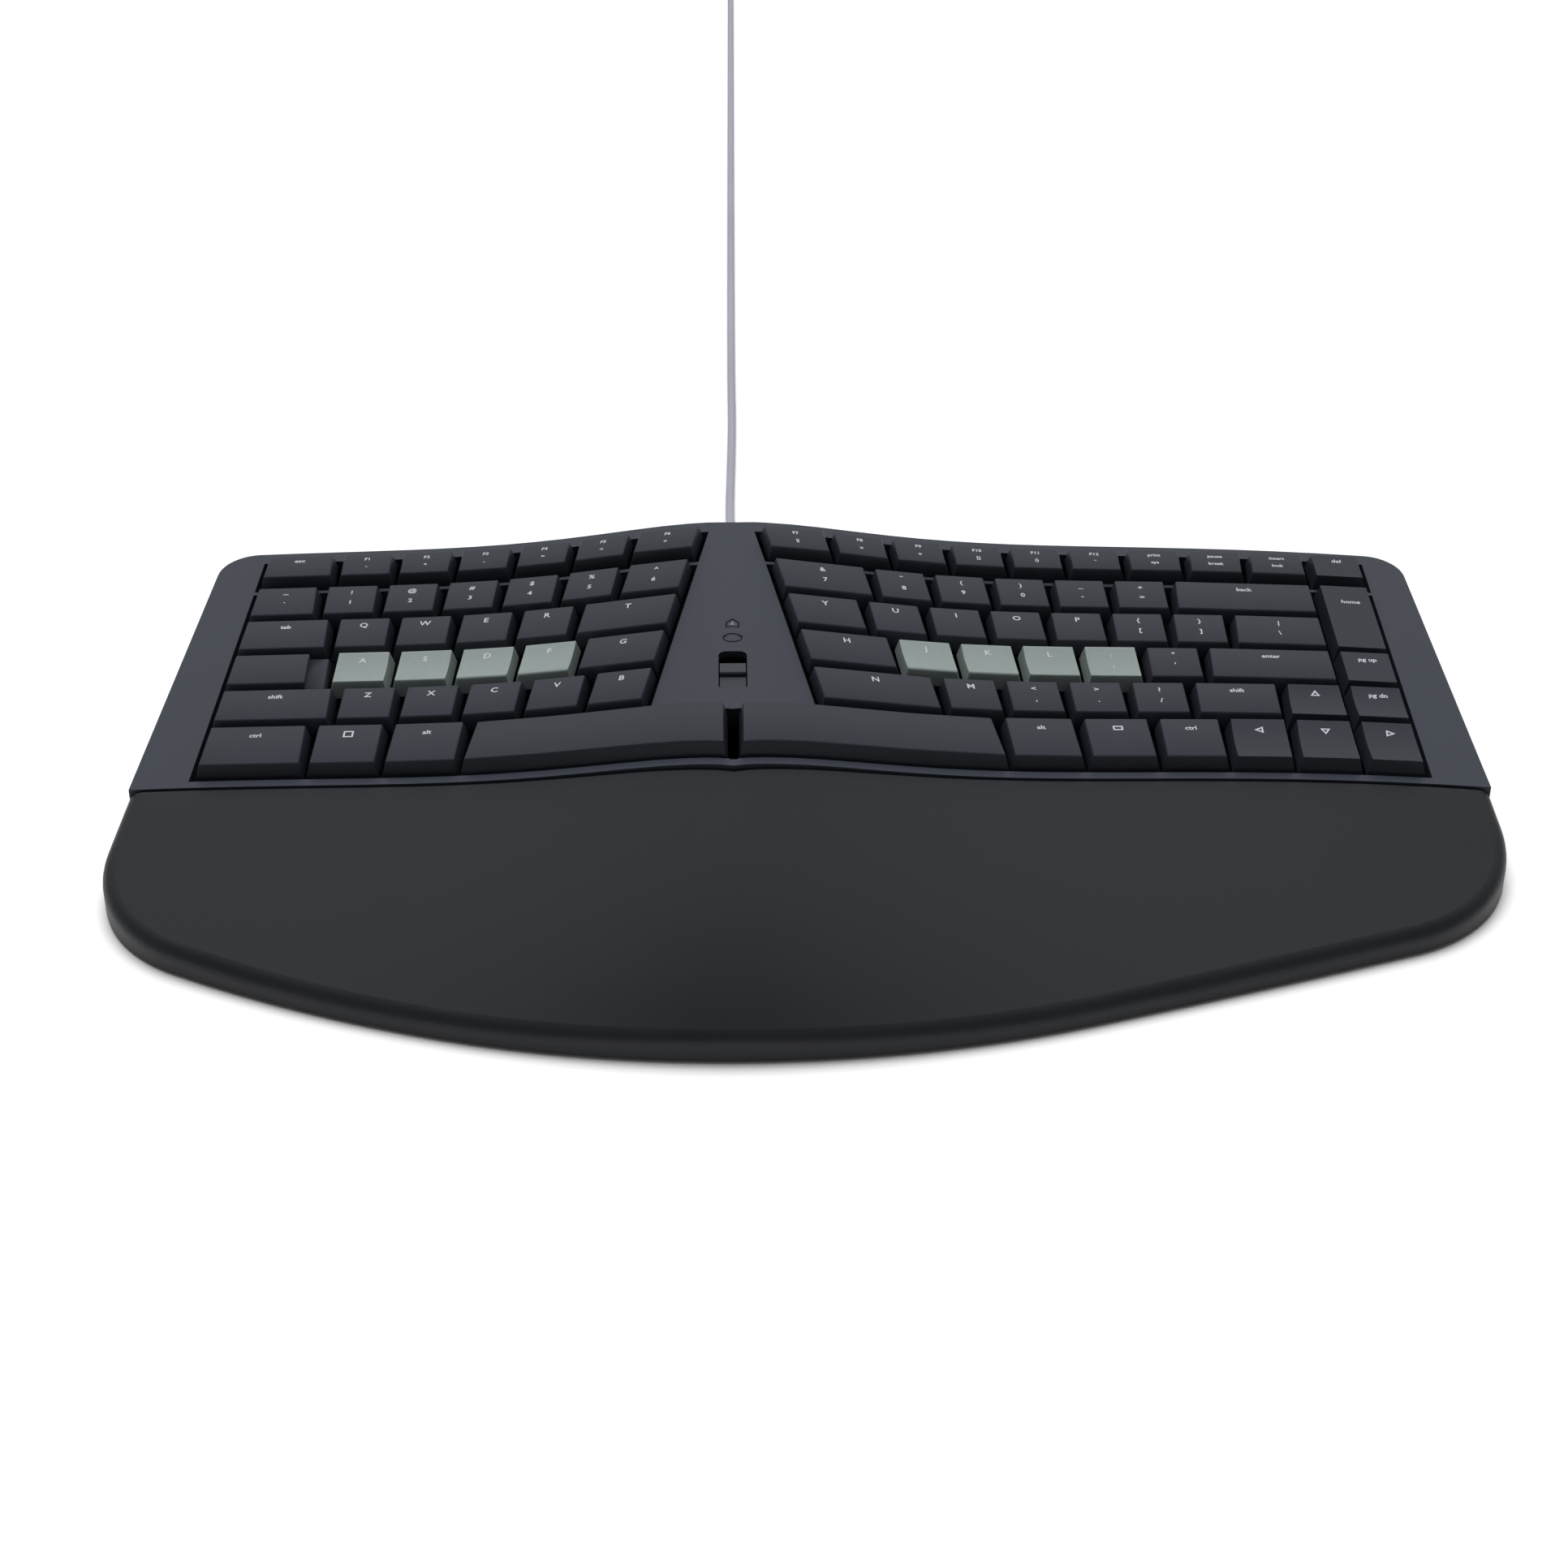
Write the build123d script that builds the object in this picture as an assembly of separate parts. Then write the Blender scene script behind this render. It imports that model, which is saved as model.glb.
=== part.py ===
from build123d import *
import os
from math import asin, atan, cos, degrees, exp, pi, radians, sin, sqrt, tan

os.makedirs("parts", exist_ok=True)

# A wave-shaped split keyboard with a moulded palm rest, 85 keys and a captive cord.
# Millimetres and degrees. While it is drawn, X is zero on the split line between the two
# halves, Y is zero at the rear of the number row by the spine and grows to the rear, and Z is
# zero on the desk. The finished pieces are then moved so that the origin is under the middle.

# Key field: each row is an arc that leaves the spine at an angle and straightens outwards.
key_pitch = 19.05
key_gap = 1.1
row_radius = 625.0
row_start_heading = 10.2
row_shift_heading = 8.5
inner_key_x = 14.7
inner_key_y = -3.8
function_row_depth = 14.5
function_row_space = 3.85
space_row_depth = 21.3
space_bar_split = 3.2

# Field edges, in key pitches outwards from the inner end of a row, at the rear and the front.
inner_edge_rear = -0.24
inner_edge_front = -0.03
left_edge_rear = 7.36
left_edge_front = 6.80
right_edge_rear = 10.18
right_edge_front = 9.20

# Key plane: tilted up to the rear, with a smooth wave that crests on the split line.
plane_height = 27.3
plane_tilt = 4.9
wave_rise = 17.2
wave_width = 58.0
wave_power = 1.6

# Key caps.
cap_height = 5.4
cap_taper = 1.3
cap_wall = 1.3
cap_roof = 1.5
dish_depth = 0.55
caps_step_drop = 2.4
caps_step_width = 6.4
key_travel = 3.0

# Switches, plate and circuit boards, as depths below the key tops.
tower_top = 4.9
tower_width = 11.4
tower_length = 9.0
press_gap = 0.3
flange_top = cap_height + key_travel + press_gap
flange_side = 15.0
flange_thick = 0.7
body_side = 13.8
plate_thick = 1.2
plate_hole_fit = 0.1
seat_gap = 0.2
body_depth = 1.0
board_thick = 1.2
stem_width = 4.5
stem_length = 3.0
stem_reach = 7.1
stem_fit = 0.2
bore_floor = 0.8
guide_side = 6.0
guide_top = 6.2
guide_post = 3.0
wide_key = 35.0
guide_spread = 12.0
space_bar_guide_spread = 26.0

# Casing.
deck_drop = 3.8
deck_thick = 2.2
shell_wall = 2.4
well_gap = 1.4
well_wall = 1.3
plate_margin = 0.4
wells_apart = 1.5
rear_border = 5.6
left_border_rear = 13.7
left_border_front = 16.5
right_border_rear = 12.4
right_border_front = 16.2
rear_corner_radius = 13.0
rear_dip_radius = 20.0
seam_ahead = 3.0
seam_gap = 0.3
foot_height = 1.0
floor_thick = 2.0
rim_height = 2.0

# Palm rest: its outline from each end of the seam to the nose. Its surface is given on lines at
# shares of the reach: the height aside of the wave, the wave's rise and the fall at the far sides.
palm_reach = 97.2
palm_nose_x = 2.0
palm_left_straight = 25.0
palm_left_corner_radius = 47.5
palm_left_corner_turn = 66.0
palm_right_straight = 14.5
palm_right_corner_radius = 50.0
palm_right_corner_turn = 72.0
palm_drop = 3.9
palm_lines = [(0.5, 10.5, 13.5, 5.0), (0.85, 6.8, 8.2, 5.0), (1.05, 4.6, 0.9, 3.0)]
palm_top_wall = 3.0
palm_side_wall = 8.0
palm_lip = 3.0
palm_edge_radius = 4.0
palm_rim_radius = 1.2
palm_fit = 0.3

# Slide switch and lamps on the spine.
slot_width = 8.5
slot_corner = 2.0
slot_centre_y = -63.8
knob_width = 7.7
knob_length = 13.0
knob_travel = 6.0
knob_end_space = 0.3
slot_length = knob_length + knob_travel + 2 * knob_end_space
knob_drop = 0.5
knob_ridge = 1.4
switch_wall = 1.6
switch_depth = 6.0
lamp_radius = 1.0
lamp_places = [(-2.6, -46.6), (2.6, -46.6)]

# Tilt legs under the rear, rubber feet, screws and their bosses.
leg_width = 30.0
leg_reach = 14.0
leg_thick = 2.4
leg_barrel_radius = 2.0
leg_pin_radius = 1.2
leg_fit = 0.3
pin_fit = 0.05
leg_pin_height = 3.6
leg_inset = 48.0
leg_pin_inset = 12.0
pocket_wall = 1.8
pocket_roof = 1.2
foot_length = 26.0
foot_width = 8.0
screw_radius = 1.25
screw_head_radius = 2.6
screw_head_thick = 1.2
case_screw_length = 7.0
palm_screw_length = 3.4
screw_tip_space = 0.8
screw_fit = 0.15
boss_radius = 3.3
case_screw_rows = (0.6, 4.2)
spine_screw_ys = (4.0, -26.0)
palm_screw_xs = (-120.0, -45.0, 55.0, 150.0)
palm_screw_ahead = 48.0
palm_feet = [(-125.0, -48.0), (palm_nose_x, -82.0), (160.0, -45.0)]

# Cord, its exit and its plug.
cord_radius = 1.5
cord_desk_gap = 0.1
exit_height = 12.0
relief_length = 24.0
relief_root_radius = 3.4
relief_tip_radius = 2.1
relief_flange_radius = 5.0
relief_flange_thick = 2.0
coil_radius = 24.5
coil_pitch = 3.5
coil_turns = 4
coil_tail = 12.0
plug_width = 15.6
plug_length = 24.0
plug_sleeve_radius = 2.6
plug_sleeve_length = 10.0
plug_shell_width = 12.0
plug_shell_thick = 4.5
plug_shell_length = 12.0
plug_shell_wall = 0.4
plug_tongue_thick = 1.8

# How far blanks and cuts reach past what they shape.
above_all = 100.0
below_desk = 10.0
past_rear = 100.0
past_sides = 20.0
profile_past_side = 25.0
profile_past_front = 15.0
profile_past_rear = 40.0
half_depth = 400.0
cut_past = 5.0
lamp_cut_past = 2.0
exit_cut = 12.0

left = -1
right = 1
tilt = radians(plane_tilt)
rise_back = tan(tilt)
travel = Vector(0, -sin(tilt), cos(tilt))
half_gap = key_gap / 2 / key_pitch
nodes = {}


# Height of the wave over the key plane, and its slope, at a distance from the split line.
def wave(x):
    return wave_rise * exp(-((abs(x) / wave_width) ** wave_power))


def wave_slope(x):
    reach = abs(x) / wave_width
    steep = wave_power * reach ** (wave_power - 1) / wave_width * wave(x)
    return -steep if x > 0 else steep


# A place in the key field: the side, pitches outwards along a row and pitches forward.
def heading(along):
    return radians(row_start_heading) - along * key_pitch / row_radius


def spot(side, along, ahead):
    start = radians(row_start_heading)
    shift = radians(row_shift_heading)
    forward = ahead * key_pitch
    x = inner_key_x + row_radius * (sin(start) - sin(heading(along))) + forward * sin(shift)
    y = inner_key_y + row_radius * (cos(heading(along)) - cos(start)) - forward * cos(shift)
    return Vector(side * x, y)


# Pitches along a row at which it comes to a distance from the split line.
def along_at(distance, ahead):
    start = radians(row_start_heading)
    sideways = inner_key_x - distance + ahead * key_pitch * sin(radians(row_shift_heading))
    return (start - asin(sin(start) + sideways / row_radius)) * row_radius / key_pitch


# Rear and front of each row, in pitches forward, and the lines of the casing round them.
function_front = -function_row_space / key_pitch
function_rear = function_front - function_row_depth / key_pitch
space_rear = 4 + half_gap
space_front = space_rear + space_row_depth / key_pitch
bands = {
    "function": (function_rear, function_front),
    "number": (half_gap, 1 - half_gap),
    "upper": (1 + half_gap, 2 - half_gap),
    "home": (2 + half_gap, 3 - half_gap),
    "lower": (3 + half_gap, 4 - half_gap),
    "space": (space_rear, space_front),
    "tall": (half_gap, 2 - half_gap),
}
well_margin = well_gap / key_pitch
field_rear = function_rear - well_margin
field_front = space_front + well_margin
main_well_rear = half_gap - well_margin
function_well_front = main_well_rear - wells_apart / key_pitch
space_well_rear = space_rear - well_margin
seam_line = field_front + seam_ahead / key_pitch
case_rear = field_rear - rear_border / key_pitch


# The straight edges of the field and of the casing, as pitches along a row.
def between(rear, front, ahead):
    return rear + (front - rear) * (ahead - field_rear) / (field_front - field_rear)


def inner_edge(side, ahead):
    return between(inner_edge_rear, inner_edge_front, ahead)


def outer_edge(side, ahead):
    if side == left:
        return between(left_edge_rear, left_edge_front, ahead)
    return between(right_edge_rear, right_edge_front, ahead)


def column_edge(side, ahead):
    return outer_edge(side, ahead) - 1


def middle_edge(side, ahead):
    return along_at(0, ahead)


def side_border(side, ahead):
    if side == left:
        return between(left_border_rear, left_border_front, ahead)
    return between(right_border_rear, right_border_front, ahead)


def case_edge(side, ahead):
    return outer_edge(side, ahead) + side_border(side, ahead) / key_pitch


# Key table: node, side, row, then the inner and outer ends of each key in pitches.
# An end given as an edge follows that slanted line instead of standing square to the row.
def keys_along(side, row, first, ends, names):
    starts = [first] + ends[:-1]
    return [(name, side, row, start, end) for name, start, end in zip(names, starts, ends)]


def steps(first, count):
    return [first + index for index in range(count)]


key_table = (
    keys_along(left, "function", inner_edge, steps(1, 6) + [outer_edge],
               ["function_keys"] * 6 + ["escape_key"])
    + keys_along(left, "number", inner_edge, steps(1, 6) + [outer_edge],
                 ["number_keys"] * 6 + ["punctuation_keys"])
    + keys_along(left, "upper", inner_edge, steps(1.556, 5) + [outer_edge],
                 ["key_t", "key_r", "key_e", "key_w", "key_q", "tab_key"])
    + keys_along(left, "home", inner_edge, steps(1.33, 5) + [outer_edge],
                 ["key_g", "key_f", "key_d", "key_s", "key_a", "caps_lock_key"])
    + keys_along(left, "lower", inner_edge, steps(1, 5) + [outer_edge],
                 ["key_b", "key_v", "key_c", "key_x", "key_z", "left_shift_key"])
    + keys_along(left, "space", middle_edge, [2.70, 3.95, 5.13, outer_edge],
                 ["left_space_bar"] + ["modifier_keys"] * 3)
    + keys_along(right, "function", inner_edge, steps(1, 6) + [7.03, 8.06, column_edge, outer_edge],
                 ["function_keys"] * 9 + ["navigation_keys"])
    + keys_along(right, "number", inner_edge, steps(1.5, 6) + [column_edge],
                 ["number_keys"] * 4 + ["punctuation_keys"] * 2 + ["backspace_key"])
    + keys_along(right, "tall", column_edge, [outer_edge], ["navigation_keys"])
    + keys_along(right, "upper", inner_edge, steps(1.2, 7) + [column_edge],
                 ["key_y", "key_u", "key_i", "key_o", "key_p"] + ["punctuation_keys"] * 3)
    + keys_along(right, "home", inner_edge, steps(1.5, 6) + [column_edge, outer_edge],
                 ["key_h", "key_j", "key_k", "key_l", "semicolon_key", "punctuation_keys",
                  "enter_key", "navigation_keys"])
    + keys_along(right, "lower", inner_edge, [2, 3, 4, 5, 6, 7.45, column_edge, outer_edge],
                 ["key_n", "key_m"] + ["punctuation_keys"] * 3
                 + ["right_shift_key"] + ["navigation_keys"] * 2)
    + keys_along(right, "space", middle_edge, [2.75, 3.98, 5.15, 6.25, 7.27, column_edge, outer_edge],
                 ["right_space_bar"] + ["modifier_keys"] * 3 + ["navigation_keys"] * 3)
)
home_nodes = ["key_a", "key_s", "key_d", "key_f", "key_j", "key_k", "key_l", "semicolon_key"]


# A solid with flat faces between two rings of as many corners.
def block(low, high):
    count = len(low)
    rings = [low, high]
    for index in range(count):
        following = (index + 1) % count
        rings.append([low[index], low[following], high[following], high[index]])
    return Solid(Shell([Face(Wire.make_polygon(ring)) for ring in rings]))


# One key: where it is, how it is turned, and its four sides in its own flat frame.
class Key:
    def __init__(self, node, side, row, inner, outer):
        self.node = node
        self.side = side
        self.row = row
        self.inner = inner
        self.outer = outer
        self.rear, self.front = bands[row]
        self.ahead = (self.rear + self.front) / 2
        self.inner_end = self.end(inner, self.ahead)
        self.outer_end = self.end(outer, self.ahead)
        self.along = (self.inner_end + self.outer_end) / 2
        self.centre = spot(side, self.along, self.ahead)
        self.turn = side * heading(self.along)
        self.depth = (self.front - self.rear) * key_pitch
        inner_side = self.side_line(inner, side)
        outer_side = self.side_line(outer, -side)
        self.sides = (inner_side, outer_side) if side == right else (outer_side, inner_side)
        self.bends = row == "space" and inner == middle_edge
        self.middle_x = sum(self.sides[0] + self.sides[1]) / 4
        self.width = (sum(self.sides[1]) - sum(self.sides[0])) / 2

    def end(self, limit, ahead):
        return limit(self.side, ahead) if callable(limit) else limit

    # Plan coordinates turned into the key's frame, X to the right and Y to the rear.
    def local(self, point):
        across = point - self.centre
        return Vector(across.X * cos(self.turn) + across.Y * sin(self.turn),
                      across.Y * cos(self.turn) - across.X * sin(self.turn))

    def plan(self, x, y):
        return Vector(self.centre.X + x * cos(self.turn) - y * sin(self.turn),
                      self.centre.Y + x * sin(self.turn) + y * cos(self.turn))

    # A side as its X at the rear and at the front; step is +1 on the left side of the key.
    def side_line(self, limit, step):
        if not callable(limit):
            x = -step * ((self.outer_end - self.inner_end) - key_gap / key_pitch) * key_pitch / 2
            return x, x
        space = {inner_edge: well_gap, outer_edge: well_gap, column_edge: key_gap / 2,
                 middle_edge: space_bar_split / 2}[limit]
        rear = self.local(spot(self.side, limit(self.side, self.rear), self.rear))
        front = self.local(spot(self.side, limit(self.side, self.front), self.front))
        lean = (rear.X - front.X) / (rear.Y - front.Y)
        rear_x = rear.X + (self.depth / 2 - rear.Y) * lean
        front_x = front.X - (self.depth / 2 + front.Y) * lean
        return rear_x + step * space, front_x + step * space

    # Corners in the plan, drawn in by an inset, going round from the rear left.
    def corners(self, inset):
        (rear_left, front_left), (rear_right, front_right) = self.sides
        half = self.depth / 2 - inset
        lean_left = (front_left - rear_left) * inset / self.depth
        lean_right = (front_right - rear_right) * inset / self.depth
        flat = [(rear_left + lean_left + inset, half), (rear_right + lean_right - inset, half),
                (front_right - lean_right - inset, -half), (front_left - lean_left + inset, -half)]
        return [self.plan(x, y) for x, y in flat]

    # A point of the plan at a depth below the key top, which leans with the wave about one X.
    def sunk(self, point, depth, about):
        height = wave(about) + wave_slope(about) * (point.X - about)
        top = Vector(point.X, point.Y, plane_height + point.Y * rise_back + height)
        return top - travel * depth

    def tapered(self, low_inset, low_depth, high_inset, high_depth):
        about = self.centre.X
        low = [self.sunk(point, low_depth, about) for point in self.corners(low_inset)]
        high = [self.sunk(point, high_depth, about) for point in self.corners(high_inset)]
        return block(low, high)

    # A box about a place in the key, along the travel, with ends that lean with the wave
    # under the middle of the key, or with the wave under the box itself.
    def box(self, x, y, width, length, low_depth, high_depth, own_lean=False):
        about = self.plan(x, 0).X if self.bends or own_lean else self.centre.X
        ring = [self.plan(x + a * width / 2, y + b * length / 2)
                for a, b in ((-1, 1), (1, 1), (1, -1), (-1, -1))]
        return block([self.sunk(point, low_depth, about) for point in ring],
                     [self.sunk(point, high_depth, about) for point in ring])

    # Where the guide posts of a wide key stand, either side of its switch.
    def guides(self):
        if self.width < wide_key:
            return []
        spread = space_bar_guide_spread if self.bends else guide_spread
        return [self.middle_x - spread, self.middle_x + spread]


keys = [Key(*entry) for entry in key_table]


# The sides of a cap lean, so a place deeper on it is wider by this much each side.
def inset_at(depth):
    return cap_taper * (1 - depth / cap_height)


def plain_cap(key):
    below = cap_height + 1
    outside = key.tapered(0, cap_height, cap_taper, 0)
    inside = key.tapered(cap_wall + inset_at(below), below, cap_wall + inset_at(cap_roof), cap_roof)
    return outside - inside


# A shallow trough across the key, deepest in the middle.
def dished_cap(key):
    half = key.depth / 2 - cap_taper
    radius = (dish_depth ** 2 + half ** 2) / (2 * dish_depth)
    slope = wave_slope(key.centre.X)
    lean = degrees(atan(slope * cos(key.turn) + rise_back * sin(key.turn)))
    lift = (radius - dish_depth) / cos(atan(slope))
    centre = key.sunk(key.centre, -lift, key.centre.X)
    roller = Cylinder(radius, 2 * key_pitch + key.width)
    return plain_cap(key) - Location(centre, (0, 0, degrees(key.turn))) * Rot(0, 90 - lean, 0) * roller


# The caps lock cap has a low step on the side by the letters.
def stepped_cap(key):
    below = cap_height + 1
    step_roof = caps_step_drop + cap_roof
    outside = key.tapered(0, cap_height, cap_taper, 0)
    side_x = max(key.sides[1]) if key.side == left else min(key.sides[0])
    cut_width = caps_step_width + cap_height
    cut_x = side_x + key.side * (caps_step_width - cut_width / 2)
    cut = key.box(cut_x, 0, cut_width, key.depth + 2, caps_step_drop, -1)
    under_step = key.box(cut_x, 0, cut_width + 2 * cap_wall, key.depth + 2, step_roof, -1)
    inside = key.tapered(cap_wall + inset_at(below), below, cap_wall + inset_at(cap_roof), cap_roof)
    return outside - cut - (inside - under_step)


# A space bar bends with the row and the wave: upright sections along it, joined smoothly.
def bar_form(key, low_inset, low_depth, high_inset, high_depth):
    sections = []
    section_count = 7
    ends = {}
    for edge in (key.rear, key.front):
        inner = along_at(space_bar_split / 2, edge)
        outer = key.outer_end - half_gap
        ends[edge] = (inner, outer)
    for index in range(section_count):
        share = index / (section_count - 1)
        inwards = 1 if index == 0 else -1 if index == section_count - 1 else 0
        places = []
        for edge in (key.rear, key.front):
            inner, outer = ends[edge]
            places.append(spot(key.side, inner + (outer - inner) * share, edge))
        across = (places[0] - places[1]).normalized()
        outwards = (spot(key.side, key.outer_end, key.ahead) - spot(key.side, key.inner_end, key.ahead))
        outwards = outwards.normalized()
        middle = (places[0] + places[1]) / 2
        ring = []
        for inset, depth, place, into in ((low_inset, low_depth, places[1], across),
                                          (low_inset, low_depth, places[0], -across),
                                          (high_inset, high_depth, places[0], -across),
                                          (high_inset, high_depth, places[1], across)):
            point = place + into * inset
            height = plane_height + wave(middle.X) + point.Y * rise_back - depth / cos(tilt)
            ring.append(Vector(point.X, point.Y, height) + outwards * inwards * inset)
        sections.append(ring)
    return sections


def lofted(sections):
    return Solid.make_loft([Wire.make_polygon(ring) for ring in sections])


def space_bar(key):
    below = cap_height + 1
    outside = lofted(bar_form(key, 0, cap_height, cap_taper, 0))
    inside = lofted(bar_form(key, cap_wall + inset_at(below), below,
                             cap_wall + inset_at(cap_roof), cap_roof))
    return outside - inside


# The stem under a cap runs in the bore of its switch; a wide cap has a guide post each side.
def stems(key):
    root = cap_roof / 2
    posts = [key.box(key.middle_x, 0, stem_width, stem_length, stem_reach, root)]
    for x in key.guides():
        posts.append(key.box(x, 0, guide_post, guide_post, stem_reach, root))
    return posts


def key_cap(key):
    if key.bends:
        return space_bar(key)
    if key.node == "caps_lock_key":
        return stepped_cap(key)
    if key.node in home_nodes or key.node == "navigation_keys" and key.row in ("lower", "space"):
        return dished_cap(key)
    return plain_cap(key)


def add(node, *solids):
    nodes.setdefault(node, []).extend(solids)


for key in keys:
    cap = key_cap(key)
    for stem in stems(key):
        cap = cap + stem
    add(key.node, *cap.solids())

# Depths of the plate and the board, each seated with a small gap on the curved surfaces.
plate_top = flange_top + flange_thick + seat_gap
plate_bottom = plate_top + plate_thick
body_bottom = plate_bottom + body_depth
board_top = body_bottom + seat_gap
board_bottom = board_top + board_thick


def switch_housing(key):
    x = key.middle_x
    bore_bottom = body_bottom - bore_floor
    tower = key.box(x, 0, tower_width, tower_length, flange_top + flange_thick, tower_top)
    flange = key.box(x, 0, flange_side, flange_side, flange_top + flange_thick, flange_top)
    body = key.box(x, 0, body_side, body_side, body_bottom, flange_top + flange_thick / 2)
    bore = key.box(x, 0, stem_width + 2 * stem_fit, stem_length + 2 * stem_fit, bore_bottom, 0)
    return tower + flange + body - bore


def guide_block(key, x):
    bottom = plate_top - seat_gap
    bore_side = guide_post + 2 * stem_fit
    outside = key.box(x, 0, guide_side, guide_side, bottom, guide_top, own_lean=True)
    return outside - key.box(x, 0, bore_side, bore_side, bottom + 1, 0)


plate_holes = {left: [], right: []}
for key in keys:
    add("switch_housings", *switch_housing(key).solids())
    hole_side = body_side + 2 * plate_hole_fit
    plate_holes[key.side].append(key.box(key.middle_x, 0, hole_side, hole_side, plate_bottom + 1, 0))
    for x in key.guides():
        add("stabiliser_guides", *guide_block(key, x).solids())
        post_side = guide_post + 2 * stem_fit
        plate_holes[key.side].append(key.box(x, 0, post_side, post_side, plate_bottom + 1, 0))


# Plan shapes.
def row_arc(side, ahead, first, last):
    ends = [spot(side, first + (last - first) * share, ahead) for share in (0, 0.5, 1)]
    return Edge.make_three_point_arc(*ends)


def face_of(edges):
    return Face(Wire(edges))


def joined(*edges):
    return [edges[0], Edge.make_line(edges[0] @ 1, edges[1] @ 0), edges[1],
            Edge.make_line(edges[1] @ 1, edges[0] @ 0)]


# A piece of the field between two rows' lines and two edges.
def field_piece(side, rear, front, inner, outer):
    rear_arc = row_arc(side, rear, inner(side, rear), outer(side, rear))
    front_arc = row_arc(side, front, outer(side, front), inner(side, front))
    return face_of(joined(rear_arc, front_arc))


def past_middle_edge(side, ahead):
    return along_at(-1, ahead)


function_wells = [field_piece(side, field_rear, function_well_front, inner_edge, outer_edge)
                  for side in (left, right)]
main_well = Sketch() + [field_piece(side, main_well_rear, field_front, inner_edge, outer_edge)
                        for side in (left, right)]
main_well = main_well + [field_piece(side, space_well_rear, field_front, past_middle_edge, outer_edge)
                         for side in (left, right)]
wells = main_well + function_wells

# The whole outline: rear arcs, straight sides, and the palm rest as one smooth curve.
seam_ends = {side: spot(side, case_edge(side, seam_line), seam_line) for side in (left, right)}
rear_ends = {side: spot(side, case_edge(side, case_rear), case_rear) for side in (left, right)}
rear_dip = spot(right, along_at(0, case_rear), case_rear)
seam_middle = spot(right, along_at(0, seam_line), seam_line)
nose = Vector(palm_nose_x, seam_middle.Y - palm_reach)


# Two arcs that leave one point and arrive at another in given directions.
def two_arcs(start, leaving, finish, arriving):
    chord = finish - start
    both = leaving + arriving
    spread = 2 * (1 - leaving.dot(arriving))
    reach = (sqrt(chord.dot(both) ** 2 + spread * chord.dot(chord)) - chord.dot(both)) / spread
    meeting = (start + finish + (leaving - arriving) * reach) / 2
    first = Edge.make_tangent_arc(start, leaving, meeting)
    return [first, Edge.make_tangent_arc(meeting, first % 1, finish)]


# One side of the palm rest: a straight, a round corner and a long curve to the nose.
def palm_side(side, straight, corner_radius, corner_turn):
    forwards = (seam_ends[side] - rear_ends[side]).normalized()
    corner_start = seam_ends[side] + forwards * straight
    inwards = forwards.rotate(Axis.Z, -side * 90)
    centre = corner_start + inwards * corner_radius
    middle = centre - inwards.rotate(Axis.Z, -side * corner_turn / 2) * corner_radius
    corner_end = centre - inwards.rotate(Axis.Z, -side * corner_turn) * corner_radius
    leaving = forwards.rotate(Axis.Z, -side * corner_turn)
    return [Edge.make_line(seam_ends[side], corner_start),
            Edge.make_three_point_arc(corner_start, middle, corner_end),
            *two_arcs(corner_end, leaving, nose, Vector(-side, 0))]


palm_sides = palm_side(left, palm_left_straight, palm_left_corner_radius, palm_left_corner_turn)
palm_sides += palm_side(right, palm_right_straight, palm_right_corner_radius, palm_right_corner_turn)


def rear_arc_of(side):
    return row_arc(side, case_rear, along_at(0, case_rear), case_edge(side, case_rear))


whole = face_of([rear_arc_of(left), rear_arc_of(right),
                 Edge.make_line(rear_ends[left], seam_ends[left]),
                 Edge.make_line(rear_ends[right], seam_ends[right]), *palm_sides])
rear_corners = [whole.vertices().sort_by_distance(rear_ends[side])[0] for side in (left, right)]
whole = whole.fillet_2d(rear_corner_radius, rear_corners)
whole = whole.fillet_2d(rear_dip_radius, [whole.vertices().sort_by_distance(rear_dip)[0]])


# Everything behind the seam, or behind a line that is a little ahead of it.
def behind_seam(space):
    line = seam_line + space / key_pitch
    past = past_sides / key_pitch
    arcs = []
    for side in (left, right):
        arcs.append(row_arc(side, line, along_at(0, line), case_edge(side, line) + past))
    far_left = arcs[0] @ 1
    far_right = arcs[1] @ 1
    back = rear_ends[left].Y + past_rear
    return face_of([arcs[0], arcs[1],
                    Edge.make_line(far_left, Vector(far_left.X, back)),
                    Edge.make_line(Vector(far_left.X, back), Vector(far_right.X, back)),
                    Edge.make_line(Vector(far_right.X, back), far_right)])


case_plan = Sketch() + whole & behind_seam(0)
palm_plan = Sketch() + whole - behind_seam(seam_gap)


def inset_plan(plan, amount):
    return offset(plan, amount=-amount, kind=Kind.INTERSECTION)


def prism(plan, low, high):
    return extrude(Pos(0, 0, low) * plan, amount=high - low, dir=(0, 0, 1))


# Solids under the wave: a profile across the keyboard, carried along the slope.
profile_reach = seam_ends[right].X + profile_past_side
profile_step = 12.0
profile_front = nose.Y - profile_past_front
profile_back = rear_ends[left].Y + profile_past_rear
well_below = 30.0


def wave_points(y, base, rise, fall):
    count = int(profile_reach / profile_step) + 1
    reach = profile_reach / count
    return [Vector(index * reach, y,
                   base + wave(index * reach) * rise / wave_rise - fall * (index / count) ** 4)
            for index in range(-count, count + 1)]


def profile(y, base, rise, low, fall=0):
    points = wave_points(y, base, rise, fall)
    corners = [points[-1], Vector(points[-1].X, y, low), Vector(points[0].X, y, low), points[0]]
    edges = [Edge.make_spline(points)]
    edges += [Edge.make_line(corners[index], corners[index + 1]) for index in range(3)]
    return Wire(edges)


def under_wave(depth):
    base = plane_height + profile_front * rise_back - depth / cos(tilt)
    face = Face(profile(profile_front, base, wave_rise, base - 3 * well_below))
    length = profile_back - profile_front
    return Solid.extrude(face, Vector(0, length, length * rise_back))


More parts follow.
